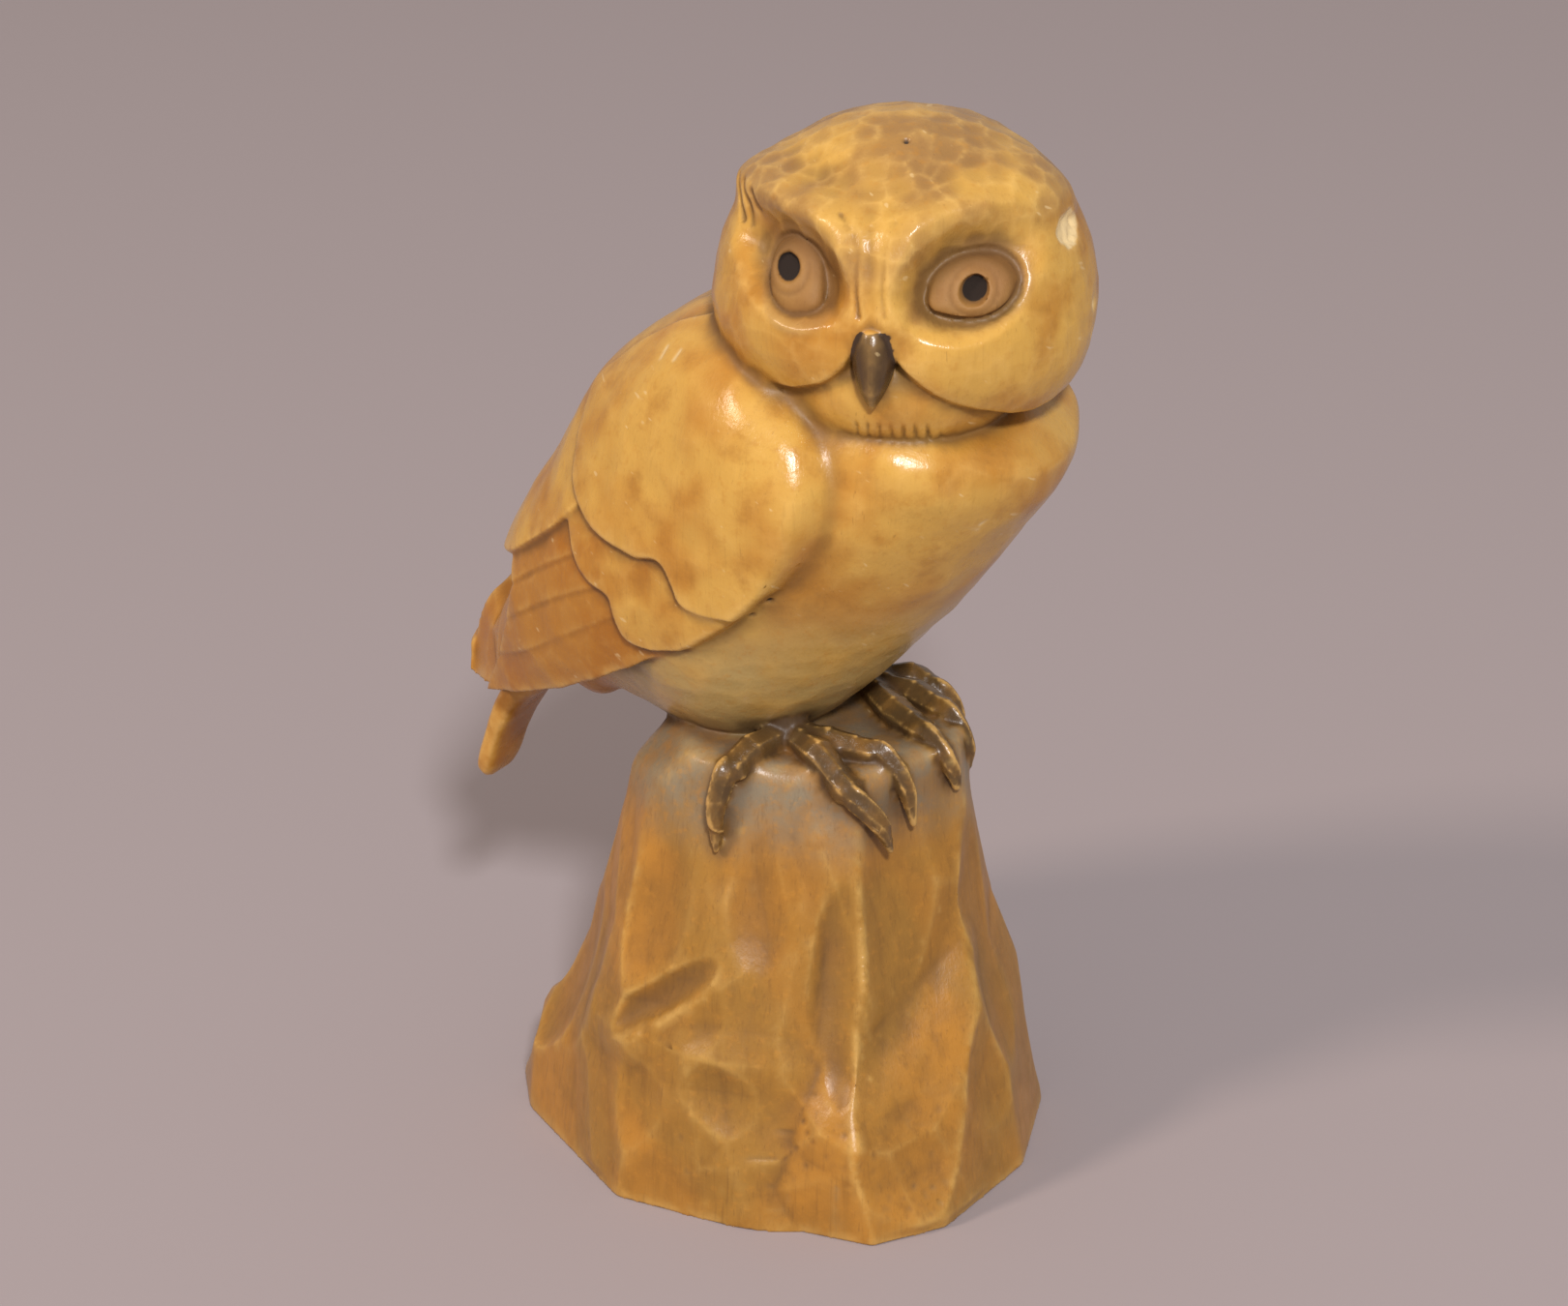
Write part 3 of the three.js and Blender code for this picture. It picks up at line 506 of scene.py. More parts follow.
head = {
    "centre": (31, -10, 250.5), "radii": (49, 47, 47), "radiusDown": 44, "yawDeg": -10.5,
    # places on the face: out to the side, up
    "brow": [
        [0, 5.6, 6], [0.18, 6, 18], [0.33, 9, 26], [0.48, 15, 30], [0.62, 23.5, 31.2], [0.8, 34, 30.5],
        [1, 44, 27],
    ],
    # its height, how far it runs out on its left and on its right, and how sharp it is
    "browHigh": 4, "browReach": (9.5, 5.2), "browSharp": 2.2,
    "browGrows": (0.05, 0.45), "browRoot": 0.35, "browEnds": (0.7, 1), "browEndHigh": (1.5, 0.9),
    "socket": (22, 15.6), "socketHalves": (16.5, 12), "socketTurn": 15, "socketFade": (0.55, 1.12),
    "socketDeep": 7,
    "cheek": (25, -5), "cheekHalves": (25, 16), "cheekHigh": 2.6,
    "bridgeHalf": 4.2, "bridgeFrom": (2, 9), "bridgeTo": (22, 34), "bridgeHigh": 0.8,
    "forehead": (0, 28), "foreheadHalves": (8, 7), "foreheadHigh": 1.5,
    "dip": (17, 37), "dipHalves": (9, 5), "dipDeep": (2.4, 1.2),  # over each brow, left and right
    "faceEdge": [
        [0, 4], [4, 1], [8, -4.5], [12, -9], [18, -13], [25, -16], [33, -18], [41, -16.5], [47, -10], [52, 2],
    ],
    "faceEdgeDeep": 7.5, "faceEdgeSoft": 4,
    "rightLift": 1.8, "rightLiftFrom": (4, 14), "rightLiftTo": (42, 50),  # the right cheek ends higher
    "faceFrom": (-16, 8),  # how far to the front the carving begins
    # the face's own middle line, to the side and by how much for each mm up; and how its features tilt up
    # to the side, less for each mm up
    "middleLine": (-0.7, -0.07), "tilt": (0.06, -0.0029), "foldSoft": 0.4,
    "rowsCloser": 1.15, "outShare": 0.7, "frontShare": 0.3,  # which way the carving stands out
}
yaw = math.radians(head["yawDeg"])
faceAxes = np.array([[math.cos(yaw), math.sin(yaw), 0], [math.sin(yaw), -math.cos(yaw), 0], [0, 0, 1]])


def onHead(place):
    return np.array(head["centre"], float) + np.asarray(place, float) @ faceAxes


def fromHead(points):
    # to the side, to the front and up from the head's centre
    return (points - np.array(head["centre"], float)) @ faceAxes.T


def facePlace(side, up):
    # the face leans a little: out from its own middle line, and up
    (start, slope), (tilt, less) = head["middleLine"], head["tilt"]
    out = np.sqrt((side - start - slope * up) ** 2 + head["foldSoft"])
    return out, up + side * (tilt + less * up)


def nearestOn(line, x, y, steps=60):
    # how far off a line, how far along it, and whether on its left
    points = through(line, np.linspace(0, 1, steps + 1))
    best = np.full(x.shape, 1e9)
    along, left = np.zeros(x.shape), np.zeros(x.shape)
    for i in range(steps):
        a, d = points[i], points[i + 1] - points[i]
        t = np.clip(((x - a[0]) * d[0] + (y - a[1]) * d[1]) / (d @ d), 0, 1)
        away = np.hypot(x - a[0] - t * d[0], y - a[1] - t * d[1])
        closer = away < best
        best = np.where(closer, away, best)
        along = np.where(closer, (i + t) / steps, along)
        left = np.where(closer, (y - a[1]) * d[0] - (x - a[0]) * d[1], left)
    return best, along, left


def bump(a, z, middle, halves):
    return np.exp(-(((a - middle[0]) / halves[0]) ** 2) - ((z - middle[1]) / halves[1]) ** 2)


def faceRelief(side, up):
    # height of the carving over the plain ball: brow ridge, cheek, bridge, less sockets and under-face
    a, z = facePlace(side, up)
    turn = math.radians(head["socketTurn"])
    out, over = a - head["socket"][0], z - head["socket"][1]
    p = (out * math.cos(turn) + over * math.sin(turn)) / head["socketHalves"][0]
    q = (over * math.cos(turn) - out * math.sin(turn)) / head["socketHalves"][1]
    hollow = 1 - eased(np.hypot(p, q), *head["socketFade"])
    away, along, left = nearestOn(head["brow"], a, z)
    reach = np.where(left > 0, *head["browReach"])
    grown = mixed(head["browRoot"], 1, eased(along, *head["browGrows"]))
    outer = np.where(side < 0, *head["browEndHigh"])
    ridge = np.exp(-head["browSharp"] * (away / reach) ** 2)
    ridge = ridge * mixed(grown, outer, eased(along, *head["browEnds"]))
    (cheekOut, cheekUp), (halfOut, halfUp) = head["cheek"], head["cheekHalves"]
    cheek = np.maximum(0, 1 - ((a - cheekOut) / halfOut) ** 2 - ((z - cheekUp) / halfUp) ** 2)
    bridge = np.exp(-((a / head["bridgeHalf"]) ** 4))
    bridge = bridge * eased(z, *head["bridgeFrom"]) * (1 - eased(z, *head["bridgeTo"]))
    forehead = bump(a, z, head["forehead"], head["foreheadHalves"])
    dip = bump(a, z, head["dip"], head["dipHalves"]) * np.where(side < 0, *head["dipDeep"])
    lift = eased(side, *head["rightLiftFrom"]) * (1 - eased(side, *head["rightLiftTo"]))
    edge = through(head["faceEdge"], a)[..., 0] + head["rightLift"] * lift
    below = eased(edge - z, 0, head["faceEdgeSoft"])
    height = head["browHigh"] * ridge + head["cheekHigh"] * cheek + head["bridgeHigh"] * bridge
    height = height + head["foreheadHigh"] * forehead - head["socketDeep"] * hollow
    return height - head["faceEdgeDeep"] * below - dip


eye = {
    "side": 21.7, "up": 13.6,
    # by hand, 1 for its right and -1 for its left
    "halfHigh": {1: 7.1, -1: 8.3}, "halfWide": {1: 10.4, -1: 7.1},
    "front": 34.4, "slopeOut": -0.255, "slopeUp": -0.56, "dome": 3.4, "domeRound": 2.4, "edge": (0.96, 1.02),
    "cornerDeg": 215, "corner": 0.16, "cornerWide": 22,
    "lidHigh": 0.75, "lidAt": 1.24, "lidWide": 0.17, "crease": 0.8, "creaseWide": 0.05,
    "irisRadius": 5.5, "irisDeep": 0.35, "irisWide": 0.55,
    "pupil": {1: (22.3, 13.4), -1: (-24, 15.8)}, "pupilRadius": 3.1, "pupilDepth": 2.8, "pupilEdge": 0.3,
    "from": 8,  # how far to the front of the head's centre the eyes may be
    # where their tints end, 1 on the edge of the opening, or in mm from the edge of the pupil; and how dark
    # the groove round the iris is made, as painted shade and grime
    "lidTint": (1.25, 1.5), "ballTint": (0.95, 1.05), "pupilTint": (-0.5, 0.2), "irisShadeAndGrime": 0.45,
    # painted shadow of the upper lid: darker towards the rim, the most under the lid
    "rimIn": (0.4, 1), "rimOut": (1, 1.1), "underLid": (-0.3, 0.9), "rimShade": (0.3, 0.45),
}


def eyeRound(side, up, hand):
    # 1 on the edge of the eye's opening: an ellipse drawn out to a point at its inner lower corner
    x = (hand * side - eye["side"]) / eye["halfWide"][hand]
    z = (up - eye["up"]) / eye["halfHigh"][hand]
    off = np.degrees(np.arctan2(z, x)) % 360 - eye["cornerDeg"]
    return np.hypot(x, z) / (1 + eye["corner"] * np.exp(-((off / eye["cornerWide"]) ** 2)))


def pupilOff(side, up, hand):
    return np.hypot(side - eye["pupil"][hand][0], up - eye["pupil"][hand][1])


def withEyes(place):
    # inside each opening the face gives way to a domed eye with a drilled pupil; a lid runs round it
    side, front, up = (place[..., k] for k in range(3))
    ahead = front > eye["from"]
    for hand in (1, -1):
        ring, off = eyeRound(side, up, hand), pupilOff(side, up, hand)
        ball = eye["front"] + eye["slopeOut"] * (hand * side - eye["side"])
        ball = ball + eye["slopeUp"] * (up - eye["up"])
        ball = ball + eye["dome"] * np.sqrt(np.maximum(1 - np.minimum(ring, 1) ** eye["domeRound"], 0))
        drilled = 1 - eased(off, eye["pupilRadius"] - eye["pupilEdge"], eye["pupilRadius"] + eye["pupilEdge"])
        iris = np.exp(-(((off - eye["irisRadius"]) / eye["irisWide"]) ** 2))
        ball = ball - eye["pupilDepth"] * drilled - eye["irisDeep"] * iris
        inside = (1 - eased(ring, *eye["edge"])) * ahead
        lid = eye["lidHigh"] * np.exp(-(((ring - eye["lidAt"]) / eye["lidWide"]) ** 2)) * ahead
        crease = eye["crease"] * np.exp(-(((ring - 1) / eye["creaseWide"]) ** 2)) * ahead
        front = mixed(front, ball, inside) + lid * (1 - inside) - crease
    return np.stack([side, front, up], -1)


def skullSkin(rows=440, columns=700):
    # a ball about the way the face looks, its rows closer together there, moved out by the carving where
    # it faces front
    a = np.pi * np.linspace(0, 1, rows)[:, None] ** head["rowsCloser"]
    b = np.linspace(0, 2 * np.pi, columns, endpoint=False)[None]
    ball = np.stack([np.sin(a) * np.cos(b), np.cos(a) + 0 * b, np.sin(a) * np.sin(b)], -1)
    radii = np.broadcast_to(np.array(head["radii"], float), ball.shape).copy()
    radii[..., 2] = np.where(ball[..., 2] < 0, head["radiusDown"], radii[..., 2])
    place = ball * radii
    normal = unit(unit(ball / radii) * head["outShare"] + np.array([0, head["frontShare"], 0]))
    front = eased(place[..., 1], *head["faceFrom"])
    place = place + normal * (front * faceRelief(place[..., 0], place[..., 2]))[..., None]
    return closedSkin(onHead(withEyes(place)))


def tube(path, radius, columns):
    # rings about a path, radius by place along it and round it; the ring's sine side is its upper side
    ahead = unit(np.gradient(path, axis=0))
    level = unit(np.cross(np.array([0, 0.03, 1.0]), ahead))
    over = np.cross(ahead, level)
    turn = np.linspace(0, 2 * np.pi, columns, endpoint=False)
    ring = np.cos(turn)[None, :, None] * level[:, None] + np.sin(turn)[None, :, None] * over[:, None]
    return path[:, None] + ring * radius[..., None]


beak = {
    # way down, up, half width, ridge, back
    "stations": [
        [0, 5.6, 3.2, 47.8, 42], [0.06, 4.8, 4.6, 49.4, 39], [0.28, 0, 5.4, 51.6, 38],
        [0.52, -4.8, 4.9, 52.4, 39], [0.76, -9.8, 3.3, 51.6, 42], [0.93, -13.6, 1.4, 49.8, 45.5],
        [1, -15.4, 0.2, 48.4, 48],
    ],
    "shift": -0.8,  # off the face's middle
    "keel": 1.3,  # 1 for an even oval, more for a sharper ridge
}


def offBeak(place):
    # 1 on the beak's surface, less inside, by the width and depth of its section at each height
    down, wide, ridge, back = np.moveaxis(through(beak["stations"], np.linspace(0, 1, 60)), -1, 0)
    wide, ridge, back = (np.interp(-place[:, 2], -down, values) for values in (wide, ridge, back))
    depth = (place[:, 1] - (ridge + back) / 2) * 2 / (ridge - back)
    ring = np.hypot((place[:, 0] - beak["shift"]) / wide, depth)
    return np.where((place[:, 2] < down[0]) & (place[:, 2] > down[-1]), ring, 9)


def beakSkin(rows=110, columns=120):
    # sections from the brow down: half width * sin, ridge and back by a power of |cos|
    up, wide, ridge, back = np.moveaxis(through(beak["stations"], np.linspace(0, 1, rows)), -1, 0)[..., None]
    turn = np.linspace(0, 2 * np.pi, columns, endpoint=False)[None]
    keel = np.sign(np.cos(turn)) * np.abs(np.cos(turn)) ** beak["keel"]
    place = np.stack([
        wide * np.sin(turn) + beak["shift"], (ridge + back) / 2 + (ridge - back) / 2 * keel, up + 0 * turn,
    ], -1)
    return closedSkin(onHead(place))


bib = {
    "centre": (0.5, 11, -14.5), "radii": (32, 35, 22.5),
    # short upright strokes along its lower edge
    "strokes": 9, "strokeSides": (-8, 18), "strokeDeep": 0.5,
    # how they fade out to the sides, below and above, how far to the front they begin, and by size and
    # share how uneven they are
    "strokeFade": 4, "strokeFoot": (-27, -24.5), "strokeHead": (-21.5, -18.5), "strokeFrom": 20,
    "strokeUneven": (4, 0.9),
}

# A soft roll down the front of each wing, from the neck: along, side, up, half width
neckRoll = [
    (2, 36, 234, 1.5), (7, 39.5, 230.5, 3.2), (13.5, 43.5, 225, 4.2), (19.5, 47.8, 216, 4.4),
    (21, 50, 205, 3.8), (17, 51, 193, 2.6), (11, 51, 183, 1.2),
]


def neckRollSkin(side):
    rows = np.array(neckRoll, float)
    rows[:, :3] = onBody(rows[:, :3] * (1, side, 1))
    return limbSkin(rows, 120, 40)


# Feet

feet = [
    # ankle, and each toe's middle joint, knuckle and claw tip
    {"ankle": (1, -17, 128), "toes": [
        [(-9, -27, 127), (-15.5, -34, 123.5), (-18, -37.5, 102)],
        [(9, -29, 127), (19, -39.5, 118.5), (28.5, -39, 103)],
        [(12, -23, 127.5), (26, -27.5, 126), (34.5, -32, 107)],
    ]},
    {"ankle": (21, 17, 128), "toes": [
        [(30, -3, 127), (39, -15, 125), (46.5, -20.5, 112)],
        [(36, 7, 127), (44.5, -2, 125.5), (50, -6, 111)],
        [(35, 19, 127), (43, 14.5, 124), (48, 12.5, 110)],
    ]},
]
leg = [(-3, 3, 12, 6.5), (0, 0, 0, 5.5), (0, 0, -6, 5)]  # from the ankle, and its radius
toe = {
    # radii down it
    "ankle": 5, "shaft": 4.1, "joint": 4.6, "waist": 4.1, "knuckle": 4.7,
    "clawStart": 3, "clawRoot": 3.2, "clawBend": 2.5, "clawTip": 0.8,
    "clawFrom": 0.8, "clawBendAt": 0.4, "clawBendOut": (0.07, 0.07, 0),
    "scutes": 4, "scuteHigh": 0.11, "scuteMiddle": 0.4, "clawKeel": 0.35, "keelSharp": 6,
    # its flat sides: how many, how flat, how turned and how much the whole is made up for them
    "sides": 6, "flatness": 0.8, "flatTurn": 0.35, "flatSwell": 1.06,
}


def limbSkin(rows, count=110, columns=48, scutes=0, keel=0):
    # a limb of flat-sided section through rows x, y, z, radius; its ends close in a quarter circle. Scutes
    # step its radius down along it like overlapping plates, and a keel raises its upper side
    rows = np.asarray(rows, float)
    keys = np.column_stack([np.linspace(0, 1, len(rows)), rows])
    t = np.linspace(0, 1, count)
    row = through(keys, t)
    end = np.minimum(t, 1 - t) * np.linalg.norm(np.diff(rows[:, :3], axis=0), axis=1).sum()
    tip = np.clip(end / np.maximum(row[:, 3], 0.5), 0, 1)
    radius = row[:, 3] * np.sqrt(tip * (2 - tip))
    turn = np.linspace(0, 2 * np.pi, columns, endpoint=False)[None]
    upper = np.maximum(np.sin(turn), 0)
    step = (scutes * t % 1) ** 2 if scutes else 0 * t
    wedge = 2 * np.pi / toe["sides"]
    flat = np.cos(wedge / 2) / np.cos((turn + toe["flatTurn"]) % wedge - wedge / 2)
    flat = mixed(1, flat * toe["flatSwell"], toe["flatness"] if scutes or keel else 0)
    shape = flat + toe["scuteHigh"] * (step[:, None] - toe["scuteMiddle"]) * upper * (scutes > 0)
    shape = shape + keel * upper ** toe["keelSharp"]
    return closedSkin(tube(row[:, :3], radius[:, None] * shape, columns))


def footSkins(foot):
    ankle = np.array(foot["ankle"], float)
    skins = [limbSkin([(*(ankle + off), radius) for *off, radius in leg])]
    for joints in foot["toes"]:
        middle, knuckle, tip = (np.array(joint, float) for joint in joints)
        shaft = {"ankle": ankle, "shaft": (ankle + middle) / 2, "joint": middle}
        shaft.update({"waist": (middle + knuckle) / 2, "knuckle": knuckle})
        skins.append(limbSkin([(*place, toe[name]) for name, place in shaft.items()], scutes=toe["scutes"]))
        start = mixed(middle, knuckle, toe["clawFrom"])
        bend = mixed(knuckle, tip, toe["clawBendAt"]) + (tip - ankle) * toe["clawBendOut"]
        claw = {"clawStart": start, "clawRoot": knuckle, "clawBend": bend, "clawTip": tip}
        rows = [(*place, toe[name]) for name, place in claw.items()]
        skins.append(limbSkin(rows, 80, 36, keel=toe["clawKeel"]))
    return skins


# The whole carving as one surface

surface = {
    "voxel": 0.6,  # mm between points of the joined surface
    "mostTriangles": 196000,
    "smoothing": 0.6, "pull": 0.8,  # share of the way to its neighbours' mean that a point goes in a round
    "normalsEvery": 14,  # rounds between two new sets of normals
    "edgeSharp": 1.5,  # more leaves less of each edge pale
    # what a point's height over the surface around it is measured from: cubes and rounds, or rounds
    "middle": (1, 5), "broad": (2, 7), "fine": 5,
}


def meshOf(name, points, faces):
    # a mesh in metres; every face has the same number of corners
    corners = faces.shape[1]
    mesh = bpy.data.meshes.new(name)
    mesh.vertices.add(len(points))
    mesh.vertices.foreach_set("co", (points / 1000).ravel())
    mesh.loops.add(faces.size)
    mesh.loops.foreach_set("vertex_index", faces.ravel())
    mesh.polygons.add(len(faces))
    mesh.polygons.foreach_set("loop_start", np.arange(0, faces.size, corners))
    mesh.polygons.foreach_set("use_smooth", np.ones(len(faces), bool))
    mesh.update(calc_edges=True)
    return mesh


def applied(piece, kind, **values):
    modifier = piece.modifiers.new(kind.title(), kind)
    for key, value in values.items():
        setattr(modifier, key, value)
    bpy.context.view_layer.objects.active = piece
    bpy.ops.object.modifier_apply(modifier=modifier.name)


def keepOuter(block):
    # the part with the highest point is kept, without the pockets shut inside the wood
    mesh = block.data
    places = np.empty(len(mesh.vertices) * 3)
    mesh.vertices.foreach_get("co", places)
    chosen = np.zeros(len(mesh.vertices), bool)
    chosen[places[2::3].argmax()] = True
    mesh.polygons.foreach_set("select", np.zeros(len(mesh.polygons), bool))
    mesh.edges.foreach_set("select", np.zeros(len(mesh.edges), bool))
    mesh.vertices.foreach_set("select", chosen)
    bpy.context.view_layer.objects.active = block
    bpy.ops.object.mode_set(mode="EDIT")
    bpy.ops.mesh.select_linked()
    bpy.ops.mesh.select_all(action="INVERT")
    bpy.ops.mesh.delete(type="VERT")
    bpy.ops.object.mode_set(mode="OBJECT")


def joinedSurface(skins):
    # all skins made one by a voxel remesh, as points and faces of four corners
    sizes = np.cumsum([0] + [len(points) for points, _ in skins])
    points = np.concatenate([points for points, _ in skins])
    faces = np.concatenate([faces + size for (_, faces), size in zip(skins, sizes)])
    block = bpy.data.objects.new("block", meshOf("block", points, faces))
    bpy.context.scene.collection.objects.link(block)
    stage("skins in one mesh")
    applied(block, "REMESH", mode="VOXEL", voxel_size=surface["voxel"] / 1000, adaptivity=0)
    stage("remeshed")
    keepOuter(block)
    mesh = block.data
    points = np.empty(len(mesh.vertices) * 3)
    mesh.vertices.foreach_get("co", points)
    faces = np.empty(len(mesh.loops), int)
    mesh.loops.foreach_get("vertex_index", faces)
    bpy.data.objects.remove(block)
    bpy.data.meshes.remove(mesh)
    return points.reshape(-1, 3) * 1000, faces.reshape(-1, 4)


class Net:
    # the joined surface with its neighbours: each point's mean neighbour and its outward normal
    def __init__(self, points, faces):
        self.points, self.faces = points, faces
        ends = np.sort(np.concatenate([faces[:, [k, (k + 1) % 4]] for k in range(4)]), axis=1)
        keys = np.unique(ends[:, 0].astype(np.int64) * len(points) + ends[:, 1])
        self.a, self.b = keys // len(points), keys % len(points)
        self.count = sum(np.bincount(end, minlength=len(points)) for end in (self.a, self.b))

    def mean(self, values, a=None, b=None):
        a, b = (self.a, self.b) if a is None else (a, b)
        flat = values.reshape(len(values), -1)
        total = np.stack([
            np.bincount(a, flat[b, k], len(values)) + np.bincount(b, flat[a, k], len(values))
            for k in range(flat.shape[1])
        ], -1)
        return (total / self.count[:, None]).reshape(values.shape)

    def smoothed(self, values, rounds):
        for _ in range(rounds):
            values = values + surface["smoothing"] * (self.mean(values) - values)
        return values

    def normals(self):
        p = self.points[self.faces]
        face = np.cross(p[:, 2] - p[:, 0], p[:, 3] - p[:, 1])
        total = np.zeros_like(self.points)
        for c in range(3):
            for k in range(4):
                total[:, c] += np.bincount(self.faces[:, k], face[:, c], len(self.points))
        return unit(total)

    def relax(self, weight, rounds, hollowOnly=False):
        # points move to their neighbours' mean where weight is over 0, or only those in a hollow
        near = weight > 0
        used = near[self.a] | near[self.b]
        a, b = self.a[used], self.b[used]
        for turn in range(rounds):
            pull = (self.mean(self.points, a, b) - self.points)[near]
            share = weight[near]
            if hollowOnly:
                if turn % surface["normalsEvery"] == 0:
                    normal = self.normals()
                share = share * ((pull * normal[near]).sum(-1) > 0)
            self.points[near] += pull * share[:, None] * surface["pull"]


# Chance patterns, the same on every run

chance = np.random.default_rng(7).random(4096)
spreaders = (73856093, 19349663, 83492791, 977)  # odd numbers that spread the cells over the chances
seeds = {"wobble": 11, "chipEdge": 31, "chipFace": 33, "strokes": 41}  # each pattern's own number


def hashed(cell, seed):
    # a repeatable number from 0 to 1 for each whole-number cell
    a, b, c, d = spreaders
    mix = cell[..., 0] * a ^ cell[..., 1] * b ^ cell[..., 2] * c
    return chance[(mix + seed * d) & (len(chance) - 1)]


def noise(points, size, seed):
    # chance values from -1 to 1 at the corners of cubes of this size, blended by 3t^2 - 2t^3
    place = points / size
    cell = np.floor(place).astype(np.int64)
    t = place - cell
    t = t * t * (3 - 2 * t)
    total = 0
    for corner in np.ndindex(2, 2, 2):
        near = np.prod(np.where(np.array(corner), t, 1 - t), axis=-1)
        total = total + near * hashed(cell + corner, seed)
    return 2 * total - 1


def cells(points, size, seed):
    # distance to the nearest and the next of seeds strewn one to a cube, in cube sizes
    place = points / size
    cell = np.floor(place).astype(np.int64)
    first = np.full(len(points), 9.0)
    second = first.copy()
    for corner in np.ndindex(3, 3, 3):
        near = cell + np.array(corner) - 1
        seedAt = near + np.stack([hashed(near, seed + k) for k in range(3)], -1) * 0.8 + 0.1  # off the walls
        away = np.linalg.norm(seedAt - place, axis=-1)
        second = np.minimum(second, np.maximum(first, away))
        first = np.minimum(first, away)
    return first, second


def offLine(points, line):
    # distance from points to a line through places
    best = np.full(len(points), 1e3)
    line = np.asarray(line, float)
    for a, b in zip(line[:-1], line[1:]):
        d = b - a
        t = np.clip(((points - a) @ d) / (d @ d), 0, 1)
        best = np.minimum(best, np.linalg.norm(points - a - t[:, None] * d, axis=-1))
    return best


skinKinds = {
    "rock": [rockSkin()],
    "trunk": [trunkSkin(), rumpSkin()],
    "tail": [tailSkin()],
    "skull": [skullSkin()],
    "neck": [neckRollSkin(1), neckRollSkin(-1)],
    "beak": [beakSkin()],
    "bib": [ballSkin(onHead(bib["centre"]), bib["radii"], faceAxes, 150, 200)],
    "quills": quillSkins(1) + quillSkins(-1),
    "coverts": [covertSkin(look, side) for look in coverts.values() for side in (1, -1)],
    "mantle": [mantleSkin(1), mantleSkin(-1)],
    "feet": [skin for foot in feet for skin in footSkins(foot)],
}
skins = [skin for kind in skinKinds.values() for skin in kind]
stage(f"{len(skins)} skins of {sum(len(points) for points, _ in skins)} points")
net = Net(*joinedSurface(skins))
stage(f"one surface of {len(net.points)} points")


def nearKind(points, kinds, cube=1.6):
    # 1 where a skin of these kinds passes through a point's own small cube
    low = points.min(0) - 3 * cube
    shape = tuple(np.ceil((points.max(0) + 3 * cube - low) / cube).astype(int))
    filled = np.zeros(shape, bool)
    for kind in kinds:
        for skin, _ in skinKinds[kind]:
            cell = ((skin - low) / cube).astype(int)
            inside = ((cell >= 0) & (cell < shape)).all(-1)
            filled[tuple(cell[inside].T)] = True
    cell = ((points - low) / cube).astype(int)
    return filled[tuple(cell.T)].astype(float)


# Creases worn soft: along the front of each wing, and under the cheeks on both sides of the beak
creases = {
    "wingWay": (0, 0.6), "wingReach": (5, 13), "wing": 0.95,
    "neckWay": (0, 0.42), "neckReach": (4, 11), "neckRounds": 60,
    "cheekLines": [
        [(-6.5, 46, -4), (-14, 43, -11), (-24, 38, -14), (-36.7, 31, -11.7), (-45.9, 17.4, -5.4)],
        [(5, 46, -5), (12.8, 45.5, -9), (22, 38, -18), (34.7, 28.3, -19.1), (42.1, 20.6, -15.1)],
    ],
    "cheekReach": (3, 8), "cheek": 0.35,
    "beakLines": [[(-6.9, 47, -5), (-6.9, 47, -11)], [(5.3, 47, -5), (5.3, 47, -11)]],
    "beakReach": (4, 9), "beak": 1.0, "offBeak": 1.15,
    "rounds": 80, "everywhere": 4, "everywhereShare": 0.5,
    "rockTop": (88, 112), "rockRounds": 60, "rockLeast": 0.02,
}


def nearLine(points, line, reach):
    return 1 - eased(offLine(points, line), *reach)


def onEachSide(line):
    return [onBody(line * (1, side, 1)) for side in (1, -1)]


net.relax(np.full(len(net.points), creases["everywhereShare"]), creases["everywhere"], hollowOnly=True)
wingLines = onEachSide(through(wing["lowEdge"], np.linspace(*creases["wingWay"], 24)))
neckLines = onEachSide(through(wing["lowEdge"], np.linspace(*creases["neckWay"], 12)))
creaseLines = {
    "wing": wingLines,
    "cheek": [onHead(line) for line in creases["cheekLines"]],
    "beak": [onHead(line) for line in creases["beakLines"]],
}
crease = np.max([
    creases[name] * nearLine(net.points, line, creases[name + "Reach"])
    for name, lines in creaseLines.items() for line in lines
], axis=0)
neck = np.max([nearLine(net.points, line, creases["neckReach"]) for line in neckLines], axis=0)
crease = crease * (offBeak(fromHead(net.points)) > creases["offBeak"])
net.relax(crease, creases["rounds"], hollowOnly=True)
net.relax(neck, creases["neckRounds"])
# the top of the rock is worn round
rockTop = eased(net.points[:, 2], *creases["rockTop"]) * nearKind(net.points, ["rock"])
rockTop = net.smoothed(rockTop * (1 - nearKind(net.points, ["feet", "trunk"])), 4)
net.relax(np.where(rockTop > creases["rockLeast"], rockTop, 0), creases["rockRounds"])
stage("creases filled")

